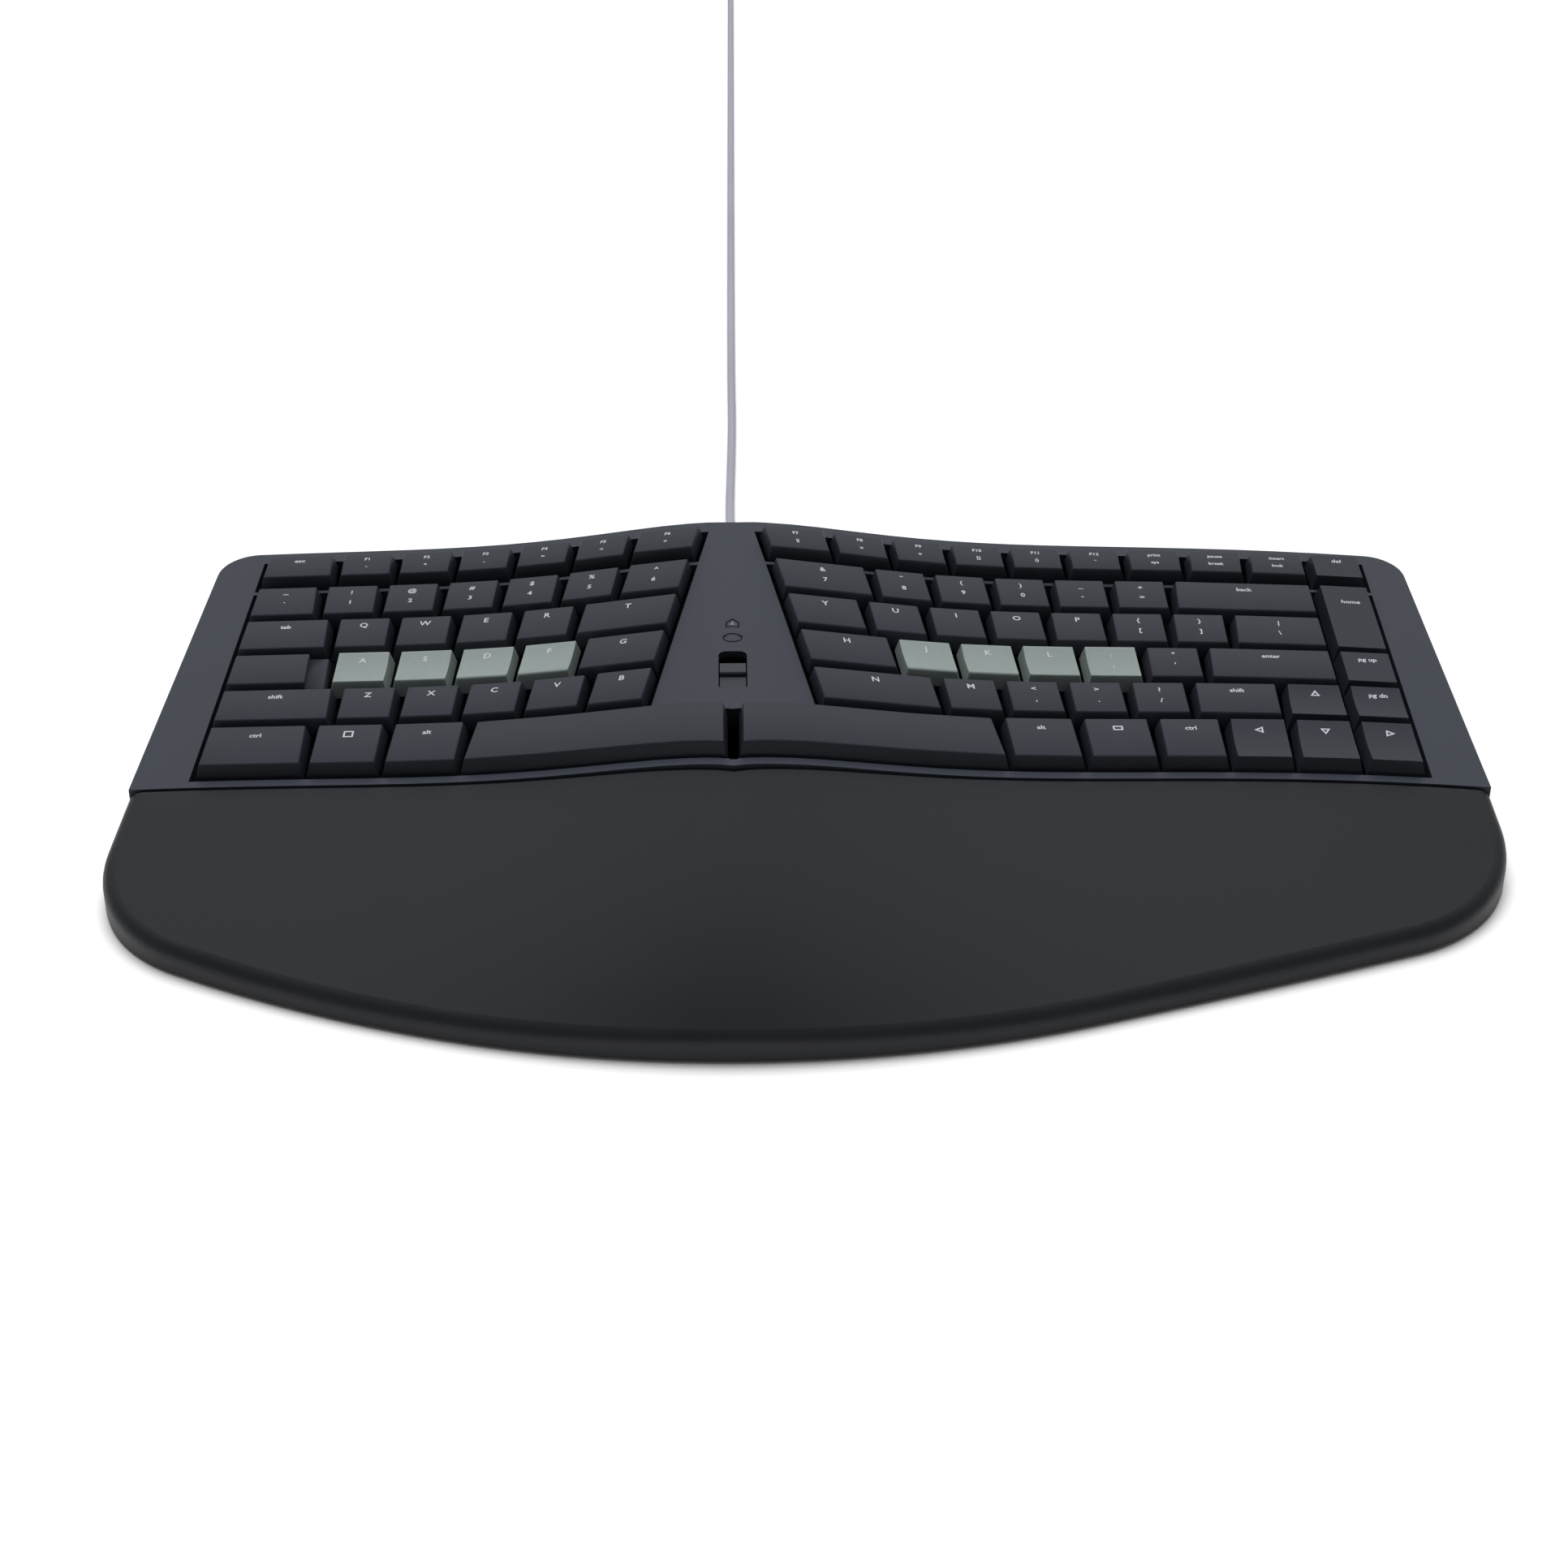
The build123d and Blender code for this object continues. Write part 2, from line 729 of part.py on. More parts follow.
def layer(plan, bottom, top):
    return prism(plan, 0, above_all) & under_wave(top) - under_wave(bottom)


# Bosses and screws: beside the wells, on the spine and under the palm rest.
def strip_place(side, ahead):
    clear_middle = (well_wall + side_border(side, ahead) - shell_wall) / 2
    return spot(side, outer_edge(side, ahead) + clear_middle / key_pitch, ahead)


case_screw_places = [strip_place(side, ahead) for side in (left, right) for ahead in case_screw_rows]
case_screw_places += [Vector(0, y) for y in spine_screw_ys]
palm_screw_places = [Vector(x, seam_middle.Y - palm_screw_ahead) for x in palm_screw_xs]
floor_top = foot_height + floor_thick
parting = floor_top + rim_height
deck_bottom = deck_drop + deck_thick


def posts_at(places, radius, low, high):
    return [Pos(place.X, place.Y, (low + high) / 2) * Cylinder(radius, high - low) for place in places]


head_top = foot_height + screw_head_thick
case_hole_top = head_top + case_screw_length + screw_tip_space
palm_hole_top = head_top + palm_screw_length + screw_tip_space
screw_holes = posts_at(case_screw_places, screw_radius + screw_fit, -1, case_hole_top)
screw_holes += posts_at(palm_screw_places, screw_radius + screw_fit, -1, palm_hole_top)
cavity_plan = inset_plan(case_plan, shell_wall)

# The slide switch and the lamps stand on the spine, square to the key plane.
def spine_place(x, y, depth):
    top = Vector(x, y, plane_height + y * rise_back + wave(x))
    return Location(top - travel * depth, (plane_tilt, 0, 0))


def slot_form(length, width, height):
    return extrude(RectangleRounded(width, length, slot_corner), amount=height)


slot_cut = spine_place(0, slot_centre_y, deck_bottom + cut_past) * slot_form(
    slot_length, slot_width, deck_thick + 2 * cut_past)
lamp_cuts = [spine_place(x, y, deck_bottom + lamp_cut_past)
             * extrude(Circle(lamp_radius), amount=deck_thick + 3 * lamp_cut_past)
             for x, y in lamp_places]
dip_angle = heading(along_at(0, case_rear))
exit_y = rear_dip.Y + rear_dip_radius * (1 / cos(dip_angle) - 1)
exit_hole = Pos(0, exit_y, exit_height) * Rot(90, 0, 0) * Cylinder(relief_root_radius + stem_fit, exit_cut)

# The top case is hollow but for the walls round its wells and its screw posts.
walled_wells = inset_plan(Sketch() + function_wells[0], -well_wall)
walled_wells = walled_wells + inset_plan(Sketch() + function_wells[1], -well_wall)
walled_wells = walled_wells + inset_plan(main_well, -well_wall)
hollow = prism(cavity_plan, 0, above_all) & under_wave(deck_bottom)
hollow = hollow - (prism(walled_wells, 0, above_all) - under_wave(plate_top - seat_gap))
hollow = hollow - posts_at(case_screw_places, boss_radius, floor_top, above_all)
top_case = prism(case_plan, parting, above_all) & under_wave(deck_drop)
top_case = top_case - hollow - prism(wells, 0, above_all)
top_case = top_case - screw_holes - slot_cut - lamp_cuts - exit_hole
add("top_case", *top_case.solids())

# Plates and boards, one of each for either half.
for side in (left, right):
    side_wells = Sketch() + field_piece(side, field_rear, field_front, inner_edge, outer_edge)
    side_wells = side_wells + field_piece(side, space_well_rear, field_front, past_middle_edge, outer_edge)
    carrier = inset_plan(side_wells, -plate_margin)
    keep = Pos(side * (profile_reach / 2 + space_bar_split / 2), 0) * Rectangle(profile_reach, half_depth)
    carrier = carrier & keep
    plate = layer(carrier, plate_bottom, plate_top) - plate_holes[side]
    add("key_plates", *plate.solids())
    add("circuit_boards", *layer(carrier, board_bottom, board_top).solids())


# Palm rest: a smooth shell from the seam to the rounded front. It is drawn from a little
# behind the seam, rounded all along its edge, and then cut to the seam.
palm_blank_back = 30.0


def palm_form(thinner):
    seam_y = seam_ends[left].Y
    reach = seam_y - nose.Y
    rear_y = seam_y + reach / 2
    rear_height = plane_height + rear_y * rise_back - palm_drop
    seam_height = plane_height + seam_y * rise_back - palm_drop
    stations = [(rear_y, rear_height, wave_rise, 0), (seam_y, seam_height, wave_rise, 0)]
    for share, height, rise, fall in palm_lines:
        stations.append((seam_y - reach * share, height, rise, fall))
    return Solid.make_loft([profile(y, height - thinner, rise, -below_desk, fall)
                            for y, height, rise, fall in stations])


blank_ends = {side: seam_ends[side] + (rear_ends[side] - seam_ends[side]).normalized() * palm_blank_back
              for side in (left, right)}
blank_plan = face_of([*palm_sides, Edge.make_line(seam_ends[left], blank_ends[left]),
                      Edge.make_line(blank_ends[left], blank_ends[right]),
                      Edge.make_line(blank_ends[right], seam_ends[right])])
palm_blank = (prism(blank_plan, foot_height, above_all) & palm_form(0)).solids()[0]
blank_back_y = min(blank_ends[left].Y, blank_ends[right].Y)
upper_edges = [edge for edge in palm_blank.edges()
               if (edge @ 0.5).Z > floor_top and (edge @ 0.5).Y < blank_back_y - 2
               and abs((edge % 0.5).Z) < 0.5]
palm_blank = palm_blank.fillet(palm_edge_radius, upper_edges)
palm_rest = (palm_blank - prism(Sketch() + behind_seam(seam_gap), 0, above_all)).solids()[0]
rim_edges = [edge for edge in palm_rest.edges()
             if (edge @ 0.5).Z > floor_top + 8 and (edge @ 0.5).Y > seam_middle.Y - 1
             and abs((edge @ 0).X - (edge @ 1).X) > key_pitch]
palm_rest = palm_rest.fillet(palm_rim_radius, rim_edges)
palm_cavity = prism(inset_plan(palm_plan, palm_side_wall), 0, above_all) & palm_form(palm_top_wall)
floor_plan = case_plan + inset_plan(Sketch() + whole, palm_lip)
palm_cavity = palm_cavity - posts_at(palm_screw_places, boss_radius, floor_top, above_all)
floor_room = prism(inset_plan(Sketch() + whole, palm_lip - palm_fit), 0, floor_top)
palm_rest = palm_rest - palm_cavity - floor_room
palm_rest = palm_rest - screw_holes
add("palm_rest", *palm_rest.solids())

# Bottom case: a floor with a rim under the top case, and a pocket for each tilt leg.
leg_places = {side: Vector(rear_ends[side].X - side * leg_inset, rear_ends[side].Y - leg_pin_inset)
              for side in (left, right)}
pocket_top = leg_pin_height + leg_barrel_radius + leg_fit
pocket_half = leg_width / 2 + leg_fit


def box_between(x, y, z):
    size = Box(x[1] - x[0], y[1] - y[0], z[1] - z[0])
    return Pos((x[0] + x[1]) / 2, (y[0] + y[1]) / 2, (z[0] + z[1]) / 2) * size


def pocket_box(place, wall, low, high):
    reach_y = (place.Y - leg_reach - leg_fit - wall, place.Y + leg_barrel_radius + leg_fit + wall)
    return box_between((place.X - pocket_half - wall, place.X + pocket_half + wall), reach_y, (low, high))


def pin_at(place, radius, length):
    return Pos(place.X, place.Y, leg_pin_height) * Rot(0, 90, 0) * Cylinder(radius, length)


bottom_case = prism(floor_plan, foot_height, floor_top) + prism(case_plan - cavity_plan, floor_top, parting)
pin_length = 2 * (pocket_half + pocket_wall)
for side in (left, right):
    place = leg_places[side]
    bottom_case = bottom_case + pocket_box(place, pocket_wall, foot_height, pocket_top + pocket_roof)
for side in (left, right):
    place = leg_places[side]
    bottom_case = bottom_case - pocket_box(place, 0, 0, pocket_top)
    bottom_case = bottom_case - pin_at(place, leg_pin_radius + pin_fit, pin_length)
    plate = box_between((place.X - leg_width / 2, place.X + leg_width / 2),
                        (place.Y - leg_reach, place.Y),
                        (leg_pin_height - leg_barrel_radius, leg_pin_height - leg_barrel_radius + leg_thick))
    leg = plate + pin_at(place, leg_barrel_radius, leg_width)
    leg = leg - pin_at(place, leg_pin_radius + pin_fit, leg_width + 2)
    add("left_tilt_leg" if side == left else "right_tilt_leg", *leg.solids())
    add("tilt_leg_pins", pin_at(place, leg_pin_radius, pin_length))
screw_places = case_screw_places + palm_screw_places
bottom_case = bottom_case - screw_holes
bottom_case = bottom_case - posts_at(screw_places, screw_head_radius + screw_fit, 0, head_top)
add("bottom_case", *bottom_case.solids())
shanks = posts_at(case_screw_places, screw_radius, head_top, head_top + case_screw_length)
shanks += posts_at(palm_screw_places, screw_radius, head_top, head_top + palm_screw_length)
for head, shank in zip(posts_at(screw_places, screw_head_radius, foot_height + screw_fit, head_top), shanks):
    add("case_screws", *(head + shank).solids())

# Rubber feet: one inwards of each tilt leg and three under the palm rest.
foot_clear = leg_width / 2 + pocket_wall + foot_length
foot_places = [leg_places[side] - Vector(side * foot_clear, leg_reach / 2) for side in (left, right)]
foot_places += [seam_middle + Vector(x, y) for x, y in palm_feet]
for place in foot_places:
    pad = RectangleRounded(foot_length, foot_width, foot_width / 3)
    add("rubber_feet", extrude(Pos(place.X, place.Y) * pad, amount=foot_height))

# Slide switch: its body is square, so it hangs below the curved deck by the curve's fall.
body_half_width = slot_width / 2 + switch_wall
switch_top = deck_bottom + wave(0) - wave(body_half_width) + seat_gap
channel_depth = switch_depth - switch_wall
switch_body = spine_place(0, slot_centre_y, switch_top + switch_depth) * slot_form(
    slot_length + 2 * switch_wall, 2 * body_half_width, switch_depth)
channel = spine_place(0, slot_centre_y, switch_top + channel_depth) * slot_form(
    slot_length, slot_width, switch_depth)
add("mode_switch_body", *(switch_body - channel).solids())
knob_bottom = switch_top + channel_depth - seat_gap
knob_top = deck_drop + knob_drop
knob_rest_y = slot_centre_y - knob_travel / 2 * cos(tilt)
knob = spine_place(0, knob_rest_y, knob_bottom) * slot_form(knob_length, knob_width, knob_bottom - knob_top)
ridge = spine_place(0, knob_rest_y, knob_bottom) * extrude(
    Rectangle(knob_width, knob_ridge), amount=knob_bottom - knob_top + 2 * knob_drop)
add("mode_switch_knob", *(knob + ridge).solids())
for x, y in lamp_places:
    lens = extrude(Circle(lamp_radius - pin_fit), amount=deck_thick + lamp_cut_past)
    add("indicator_lenses", spine_place(x, y, deck_bottom + lamp_cut_past + wave(0) - wave(x)) * lens)

# Strain relief: a flange inside the rear wall, a neck through it and a taper along the cord.
neck_length = shell_wall + 2 * seat_gap
flange_y = exit_y - shell_wall - seat_gap - relief_flange_thick / 2
towards_rear = Rot(-90, 0, 0)
neck = Pos(0, exit_y - neck_length / 2, exit_height) * towards_rear * Cylinder(relief_root_radius, neck_length)
collar = Pos(0, flange_y, exit_height) * towards_rear * Cylinder(relief_flange_radius, relief_flange_thick)
taper = Pos(0, exit_y + relief_length / 2, exit_height) * towards_rear * Cone(
    relief_root_radius, relief_tip_radius, relief_length)
add("cord_strain_relief", *(neck + collar + taper).solids())

# Cord: out of the relief, down to the desk, along it with a slight wander, and straight on.
cord_level = cord_radius + cord_desk_gap
cord_points = [(0, exit_y + relief_length, exit_height), (0, 62, exit_height), (-0.3, 90, 3.4),
               (-0.5, 114, cord_level), (0.2, 150, cord_level), (0.7, 190, cord_level),
               (0.4, 232, cord_level), (2.5, 750, cord_level), (2.5, 775, cord_level)]


def bend_radii(points):
    radii = []
    for before, at, after in zip(points, points[1:], points[2:]):
        incoming = Vector(at) - Vector(before)
        outgoing = Vector(after) - Vector(at)
        half_turn = radians(incoming.get_angle(outgoing)) / 2
        radii.append(0.45 * min(incoming.length, outgoing.length) / tan(half_turn))
    return radii


def tube(path):
    start = Plane(origin=path @ 0, z_dir=path % 0)
    swept = sweep(start * Circle(cord_radius), path=path)
    print("tube", round(path.length, 1), "long, volume over section by length",
          round(swept.volume / (pi * cord_radius ** 2 * path.length), 4))
    return swept


radii = bend_radii(cord_points)
print("bend radii", [round(radius) for radius in radii])
run_path = Wire(FilletPolyline(*cord_points, radius=radii).edges())
add("cord_run", *tube(run_path).solids())

# The spare length: a flat coil that winds inwards on the desk and outwards again on top.
point = Vector(cord_points[-1])
coil_edges = [Edge.make_line(point, point + Vector(0, 2 * cord_radius, 0))]
point = point + Vector(0, 2 * cord_radius, 0)
onwards = 1


def half_turn_arc(start, radius, onwards):
    across = Vector(-onwards * radius, 0, 0)
    return Edge.make_three_point_arc(start, start + across + Vector(0, onwards * radius, 0), start + across * 2)


for index in range(2 * coil_turns):
    coil_edges.append(half_turn_arc(point, coil_radius - index * coil_pitch / 2, onwards))
    point = coil_edges[-1] @ 1
    onwards = -onwards
inner_radius = coil_radius - coil_turns * coil_pitch
climb_end = point + Vector(-onwards * 2 * inner_radius, 0, coil_pitch)
coil_edges += two_arcs(point, Vector(0, onwards, 0), climb_end, Vector(0, -onwards, 0))
point = climb_end
onwards = -onwards
for index in range(2 * coil_turns + 1):
    coil_edges.append(half_turn_arc(point, inner_radius + (index + 1) * coil_pitch / 2, onwards))
    point = coil_edges[-1] @ 1
    onwards = -onwards
coil_edges.append(Edge.make_line(point, point + Vector(0, coil_tail, 0)))
point = point + Vector(0, coil_tail, 0)
coil_path = Wire(coil_edges)
coil = tube(coil_path)
add("cord_coil", *coil.solids())


# The least gap between places on the coil that are not neighbours along it.
def least_gap(path, spacing):
    count = int(path.length / spacing)
    places = [path @ (index / count) for index in range(count + 1)]
    apart = int(4 * cord_radius / spacing)
    nearest = min((places[index] - places[other]).length
                  for index in range(count + 1) for other in range(index + apart, count + 1))
    return nearest - 2 * cord_radius


print("least gap in the coil", round(least_gap(coil_path, 3.0), 2))
print("cord length", round(run_path.length + coil_path.length))

# Plug: a sleeve on the cord, a body as thick as the two layers beside it, a shell and a tongue.
plug_thick = 2 * (point.Z - cord_desk_gap)
sleeve = Pos(point.X, point.Y + plug_sleeve_length / 2, point.Z) * towards_rear * Cylinder(
    plug_sleeve_radius, plug_sleeve_length)
body_start = point.Y + plug_sleeve_length
body = Pos(point.X, body_start + plug_length / 2, point.Z) * Box(plug_width, plug_length, plug_thick)
shell_start = body_start + plug_length
shell_place = Pos(point.X, shell_start + plug_shell_length / 2, point.Z)
shell = shell_place * Box(plug_shell_width, plug_shell_length, plug_shell_thick)
shell = shell - shell_place * Box(plug_shell_width - 2 * plug_shell_wall, plug_shell_length + 1,
                                  plug_shell_thick - 2 * plug_shell_wall)
tongue_drop = (plug_shell_thick - 2 * plug_shell_wall - plug_tongue_thick) / 2
tongue = shell_place * Pos(0, 0, -tongue_drop) * Box(
    plug_shell_width - 2 * plug_shell_wall, plug_shell_length, plug_tongue_thick)
add("cord_plug", *(sleeve + body + shell + tongue).solids())

# The origin is on the desk under the middle of the keyboard itself.
outline = whole.bounding_box()
shift = Pos(-(outline.min.X + outline.max.X) / 2, -(outline.min.Y + outline.max.Y) / 2, 0)
print("shift", shift.position)
for name, solids in nodes.items():
    export_step(shift * Compound(solids), f"parts/{name}.step")
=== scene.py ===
import math
import bmesh
import bpy
from mathutils import Matrix, Vector


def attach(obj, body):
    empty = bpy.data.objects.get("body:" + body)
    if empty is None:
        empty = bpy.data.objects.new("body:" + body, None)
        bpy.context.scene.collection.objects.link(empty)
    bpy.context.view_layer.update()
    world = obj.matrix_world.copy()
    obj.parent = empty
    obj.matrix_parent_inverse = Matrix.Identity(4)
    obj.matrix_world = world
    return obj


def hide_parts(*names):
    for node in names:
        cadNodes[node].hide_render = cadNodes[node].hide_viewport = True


# An ergonomic keyboard with a wave-shaped key field, a palm rest and a captive cord.
# Sizes are in metres unless a note says otherwise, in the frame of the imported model.
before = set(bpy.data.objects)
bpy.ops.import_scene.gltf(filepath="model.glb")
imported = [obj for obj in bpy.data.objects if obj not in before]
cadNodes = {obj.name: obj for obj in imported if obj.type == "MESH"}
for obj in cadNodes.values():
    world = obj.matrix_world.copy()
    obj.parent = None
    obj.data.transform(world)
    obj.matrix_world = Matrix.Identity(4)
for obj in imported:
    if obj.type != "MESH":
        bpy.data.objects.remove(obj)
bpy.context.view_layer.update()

mm = 0.001
scene = bpy.context.scene

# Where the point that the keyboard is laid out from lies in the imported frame: on the desk,
# under the split line, level with the rear of the number row. Places below are from there.
layout = Vector((-21.5934 * mm, 88.6497 * mm, 0))


def addObject(name, data):
    piece = bpy.data.objects.new(name, data)
    scene.collection.objects.link(piece)
    return piece


# A colour as it looks on a screen, 0 to 255, turned by the usual screen curve into the linear
# light of the shaders.
def screenColour(red, green, blue):
    return [part / 255 / 12.92 if part <= 10 else ((part / 255 + 0.055) / 1.055) ** 2.4
            for part in (red, green, blue)]


# The camera looks from where the photograph was taken.
cameraSizes = {
    "place": (-0.692 * mm, -785.56 * mm, 444.83 * mm),
    "turn": (58.0916, -0.1619, -1.1672),   # degrees about X, Y and Z
    "lens": 64.2,                          # millimetres
    "sensor": 36,                          # millimetres across
    "sees": 50,                            # metres ahead
}
cameraData = bpy.data.cameras.new("camera")
cameraData.lens = cameraSizes["lens"]
cameraData.sensor_width = cameraSizes["sensor"]
cameraData.clip_end = cameraSizes["sees"]
camera = addObject("camera", cameraData)
camera.location = layout + Vector(cameraSizes["place"])
camera.rotation_euler = [math.radians(angle) for angle in cameraSizes["turn"]]
scene.camera = camera

# What all surfaces share: a slow change of tone over the moulding, mixed with its fine grain.
surfaceSizes = {
    "broadScale": 18, "broadDetail": 3, "broadShare": 0.65,
    "grainDetail": 2, "grainShare": 0.35,
    "darkAt": 0.3, "lightAt": 0.7,       # the mix at which a surface is darkest and lightest
    "bumpHeight": 0.1 * mm, "glowReach": 4 * mm, "gloss": 0.25,
}
# Each finish: its colour and how far that varies, its roughness and how far that varies, the
# scale of its grain and how much it shows as relief. Gloss, glow and metal are given where it has them.
finishes = {
    "keyPlastic": {"colour": (39, 42, 50), "vary": 0.12, "rough": 0.42, "roughVary": 0.08,
                   "grain": 2600, "bump": 0.05},
    "homeKeyPlastic": {"colour": (124, 134, 132), "vary": 0.10, "rough": 0.34, "roughVary": 0.06,
                       "grain": 900, "bump": 0.03, "glow": 0.25},
    "casePlastic": {"colour": (47, 51, 60), "vary": 0.10, "rough": 0.44, "roughVary": 0.08,
                    "grain": 2200, "bump": 0.06, "gloss": 0.3},
    "palmPlastic": {"colour": (26, 28, 32), "vary": 0.10, "rough": 0.48, "roughVary": 0.07,
                    "grain": 1800, "bump": 0.05, "gloss": 0.3},
    "basePlastic": {"colour": (24, 25, 28), "vary": 0.12, "rough": 0.6, "roughVary": 0.08,
                    "grain": 1500, "bump": 0.12},
    "switchPlastic": {"colour": (8, 8, 10), "vary": 0.10, "rough": 0.7, "roughVary": 0.05,
                      "grain": 1500, "bump": 0.05},
    "knobPlastic": {"colour": (48, 51, 58), "vary": 0.10, "rough": 0.42, "roughVary": 0.06,
                    "grain": 2400, "bump": 0.04},
    "plateSteel": {"colour": (12, 12, 14), "vary": 0.15, "rough": 0.7, "roughVary": 0.08,
                   "grain": 1200, "bump": 0.05},
    "boardLaminate": {"colour": (14, 40, 26), "vary": 0.25, "rough": 0.5, "roughVary": 0.1,
                      "grain": 500, "bump": 0.05},
    "lampLens": {"colour": (52, 55, 62), "vary": 0.05, "rough": 0.2, "roughVary": 0.03,
                 "grain": 800, "bump": 0.01},
    "legendInk": {"colour": (176, 179, 186), "vary": 0.08, "rough": 0.6, "roughVary": 0.05,
                  "grain": 4000, "bump": 0.02},
    "markInk": {"colour": (24, 26, 31), "vary": 0.08, "rough": 0.8, "roughVary": 0.05,
                "grain": 4000, "bump": 0.02, "gloss": 0.1},
    "statusLight": {"colour": (96, 100, 110), "vary": 0.03, "rough": 0.3, "roughVary": 0.03,
                    "grain": 2000, "bump": 0.01},
    "cordJacket": {"colour": (148, 149, 161), "vary": 0.08, "rough": 0.5, "roughVary": 0.08,
                   "grain": 1600, "bump": 0.06},
    "reliefRubber": {"colour": (40, 41, 46), "vary": 0.1, "rough": 0.6, "roughVary": 0.08,
                     "grain": 1400, "bump": 0.08},
    "plugPlastic": {"colour": (46, 47, 53), "vary": 0.1, "rough": 0.45, "roughVary": 0.08,
                    "grain": 1800, "bump": 0.06},
    "plugShell": {"colour": (176, 178, 182), "vary": 0.05, "rough": 0.24, "roughVary": 0.08,
                  "grain": 700, "bump": 0.02, "metal": 1.0},
    "pinSteel": {"colour": (150, 151, 155), "vary": 0.08, "rough": 0.3, "roughVary": 0.1,
                 "grain": 900, "bump": 0.03, "metal": 1.0},
    "footRubber": {"colour": (22, 22, 23), "vary": 0.15, "rough": 0.8, "roughVary": 0.08,
                   "grain": 1300, "bump": 0.15},
}


def makeMaterial(name, look):
    material = bpy.data.materials.new(name)
    material.use_nodes = True
    tree = material.node_tree
    shader = tree.nodes["Principled BSDF"]
    shader.inputs["Metallic"].default_value = look.get("metal", 0.0)
    shader.inputs["Specular IOR Level"].default_value = look.get("gloss", surfaceSizes["gloss"])
    if "glow" in look:
        shader.inputs["Subsurface Weight"].default_value = look["glow"]
        shader.inputs["Subsurface Radius"].default_value = [surfaceSizes["glowReach"]] * 3
        shader.inputs["Subsurface Scale"].default_value = 1.0
    place = tree.nodes.new("ShaderNodeTexCoord")

    def cloud(scale, detail):
        noise = tree.nodes.new("ShaderNodeTexNoise")
        noise.inputs["Scale"].default_value = scale
        noise.inputs["Detail"].default_value = detail
        tree.links.new(place.outputs["Object"], noise.inputs["Vector"])
        return noise

    broad = cloud(surfaceSizes["broadScale"], surfaceSizes["broadDetail"])
    grain = cloud(look["grain"], surfaceSizes["grainDetail"])
    tones = tree.nodes.new("ShaderNodeValToRGB")
    dark, light = tones.color_ramp.elements
    dark.position = surfaceSizes["darkAt"]
    light.position = surfaceSizes["lightAt"]
    for stop, change in ((dark, 1 - look["vary"]), (light, 1 + look["vary"])):
        stop.color = [min(1.0, part * change) for part in screenColour(*look["colour"])] + [1.0]
    both = tree.nodes.new("ShaderNodeMath")
    both.operation = "MULTIPLY_ADD"
    both.inputs[1].default_value = surfaceSizes["grainShare"]
    tree.links.new(grain.outputs["Fac"], both.inputs[0])
    shift = tree.nodes.new("ShaderNodeMath")
    shift.operation = "MULTIPLY"
    shift.inputs[1].default_value = surfaceSizes["broadShare"]
    tree.links.new(broad.outputs["Fac"], shift.inputs[0])
    tree.links.new(shift.outputs[0], both.inputs[2])
    tree.links.new(both.outputs[0], tones.inputs["Fac"])
    tree.links.new(tones.outputs["Color"], shader.inputs["Base Color"])
    rough = tree.nodes.new("ShaderNodeMapRange")
    rough.inputs["To Min"].default_value = look["rough"] - look["roughVary"]
    rough.inputs["To Max"].default_value = look["rough"] + look["roughVary"]
    tree.links.new(both.outputs[0], rough.inputs["Value"])
    tree.links.new(rough.outputs["Result"], shader.inputs["Roughness"])
    bump = tree.nodes.new("ShaderNodeBump")
    bump.inputs["Strength"].default_value = look["bump"]
    bump.inputs["Distance"].default_value = surfaceSizes["bumpHeight"]
    tree.links.new(grain.outputs["Fac"], bump.inputs["Height"])
    tree.links.new(bump.outputs["Normal"], shader.inputs["Normal"])
    return material


materials = {name: makeMaterial(name, look) for name, look in finishes.items()}
print("materials:", len(materials))

cordSizes = {
    "length": 1.787, "diameter": 3 * mm, "tail": 12 * mm,
    "coilTurns": 4, "pointsPerTurn": 16, "coilPitch": 3.5 * mm, "coilY": 778 * mm,
    # The layer that winds inwards on the desk, from its outside, and the one that winds outwards
    # on top, from its inside.
    "lower": {"x": -22.875 * mm, "radius": 25.375 * mm, "height": 1.6 * mm},
    "upper": {"x": -21.125 * mm, "radius": 11.375 * mm, "height": 5.1 * mm},
}
# Route of the run in millimetres: down from the exit and along the desk with a slight wander.
cordRoute = [(0, 43.59, 12), (0, 62, 12), (-0.3, 90, 3.4), (-0.5, 114, 1.6), (0.2, 150, 1.6),
             (0.7, 190, 1.6), (0.4, 232, 1.6), (2.5, 750, 1.6), (2.5, 775, 1.6)]


def coilPoint(x, radius, angle, height):
    return x + radius * math.cos(angle), cordSizes["coilY"] + radius * math.sin(angle), height


# The spare length: inwards on the desk, up in half a turn, outwards on top and straight to the plug.
def coilPoints():
    low, high = cordSizes["lower"], cordSizes["upper"]
    pitch, tail = cordSizes["coilPitch"], cordSizes["tail"]
    perTurn = cordSizes["pointsPerTurn"]
    half = perTurn // 2
    steps = cordSizes["coilTurns"] * perTurn
    points = []
    for step in range(steps + 1):
        radius = low["radius"] - pitch * step / perTurn
        points.append(coilPoint(low["x"], radius, 2 * math.pi * step / perTurn, low["height"]))
    for step in range(1, half):
        share = step / half
        middleX = low["x"] + (high["x"] - low["x"]) * share
        height = low["height"] + (high["height"] - low["height"]) * share
        points.append(coilPoint(middleX, high["radius"], math.pi * share, height))
    for step in range(steps + half + 1):
        radius = high["radius"] + pitch * step / perTurn
        points.append(coilPoint(high["x"], radius, math.pi + 2 * math.pi * step / perTurn, high["height"]))
    x, y, z = points[-1]
    return points + [(x, y + tail / 2, z), (x, y + tail, z)]


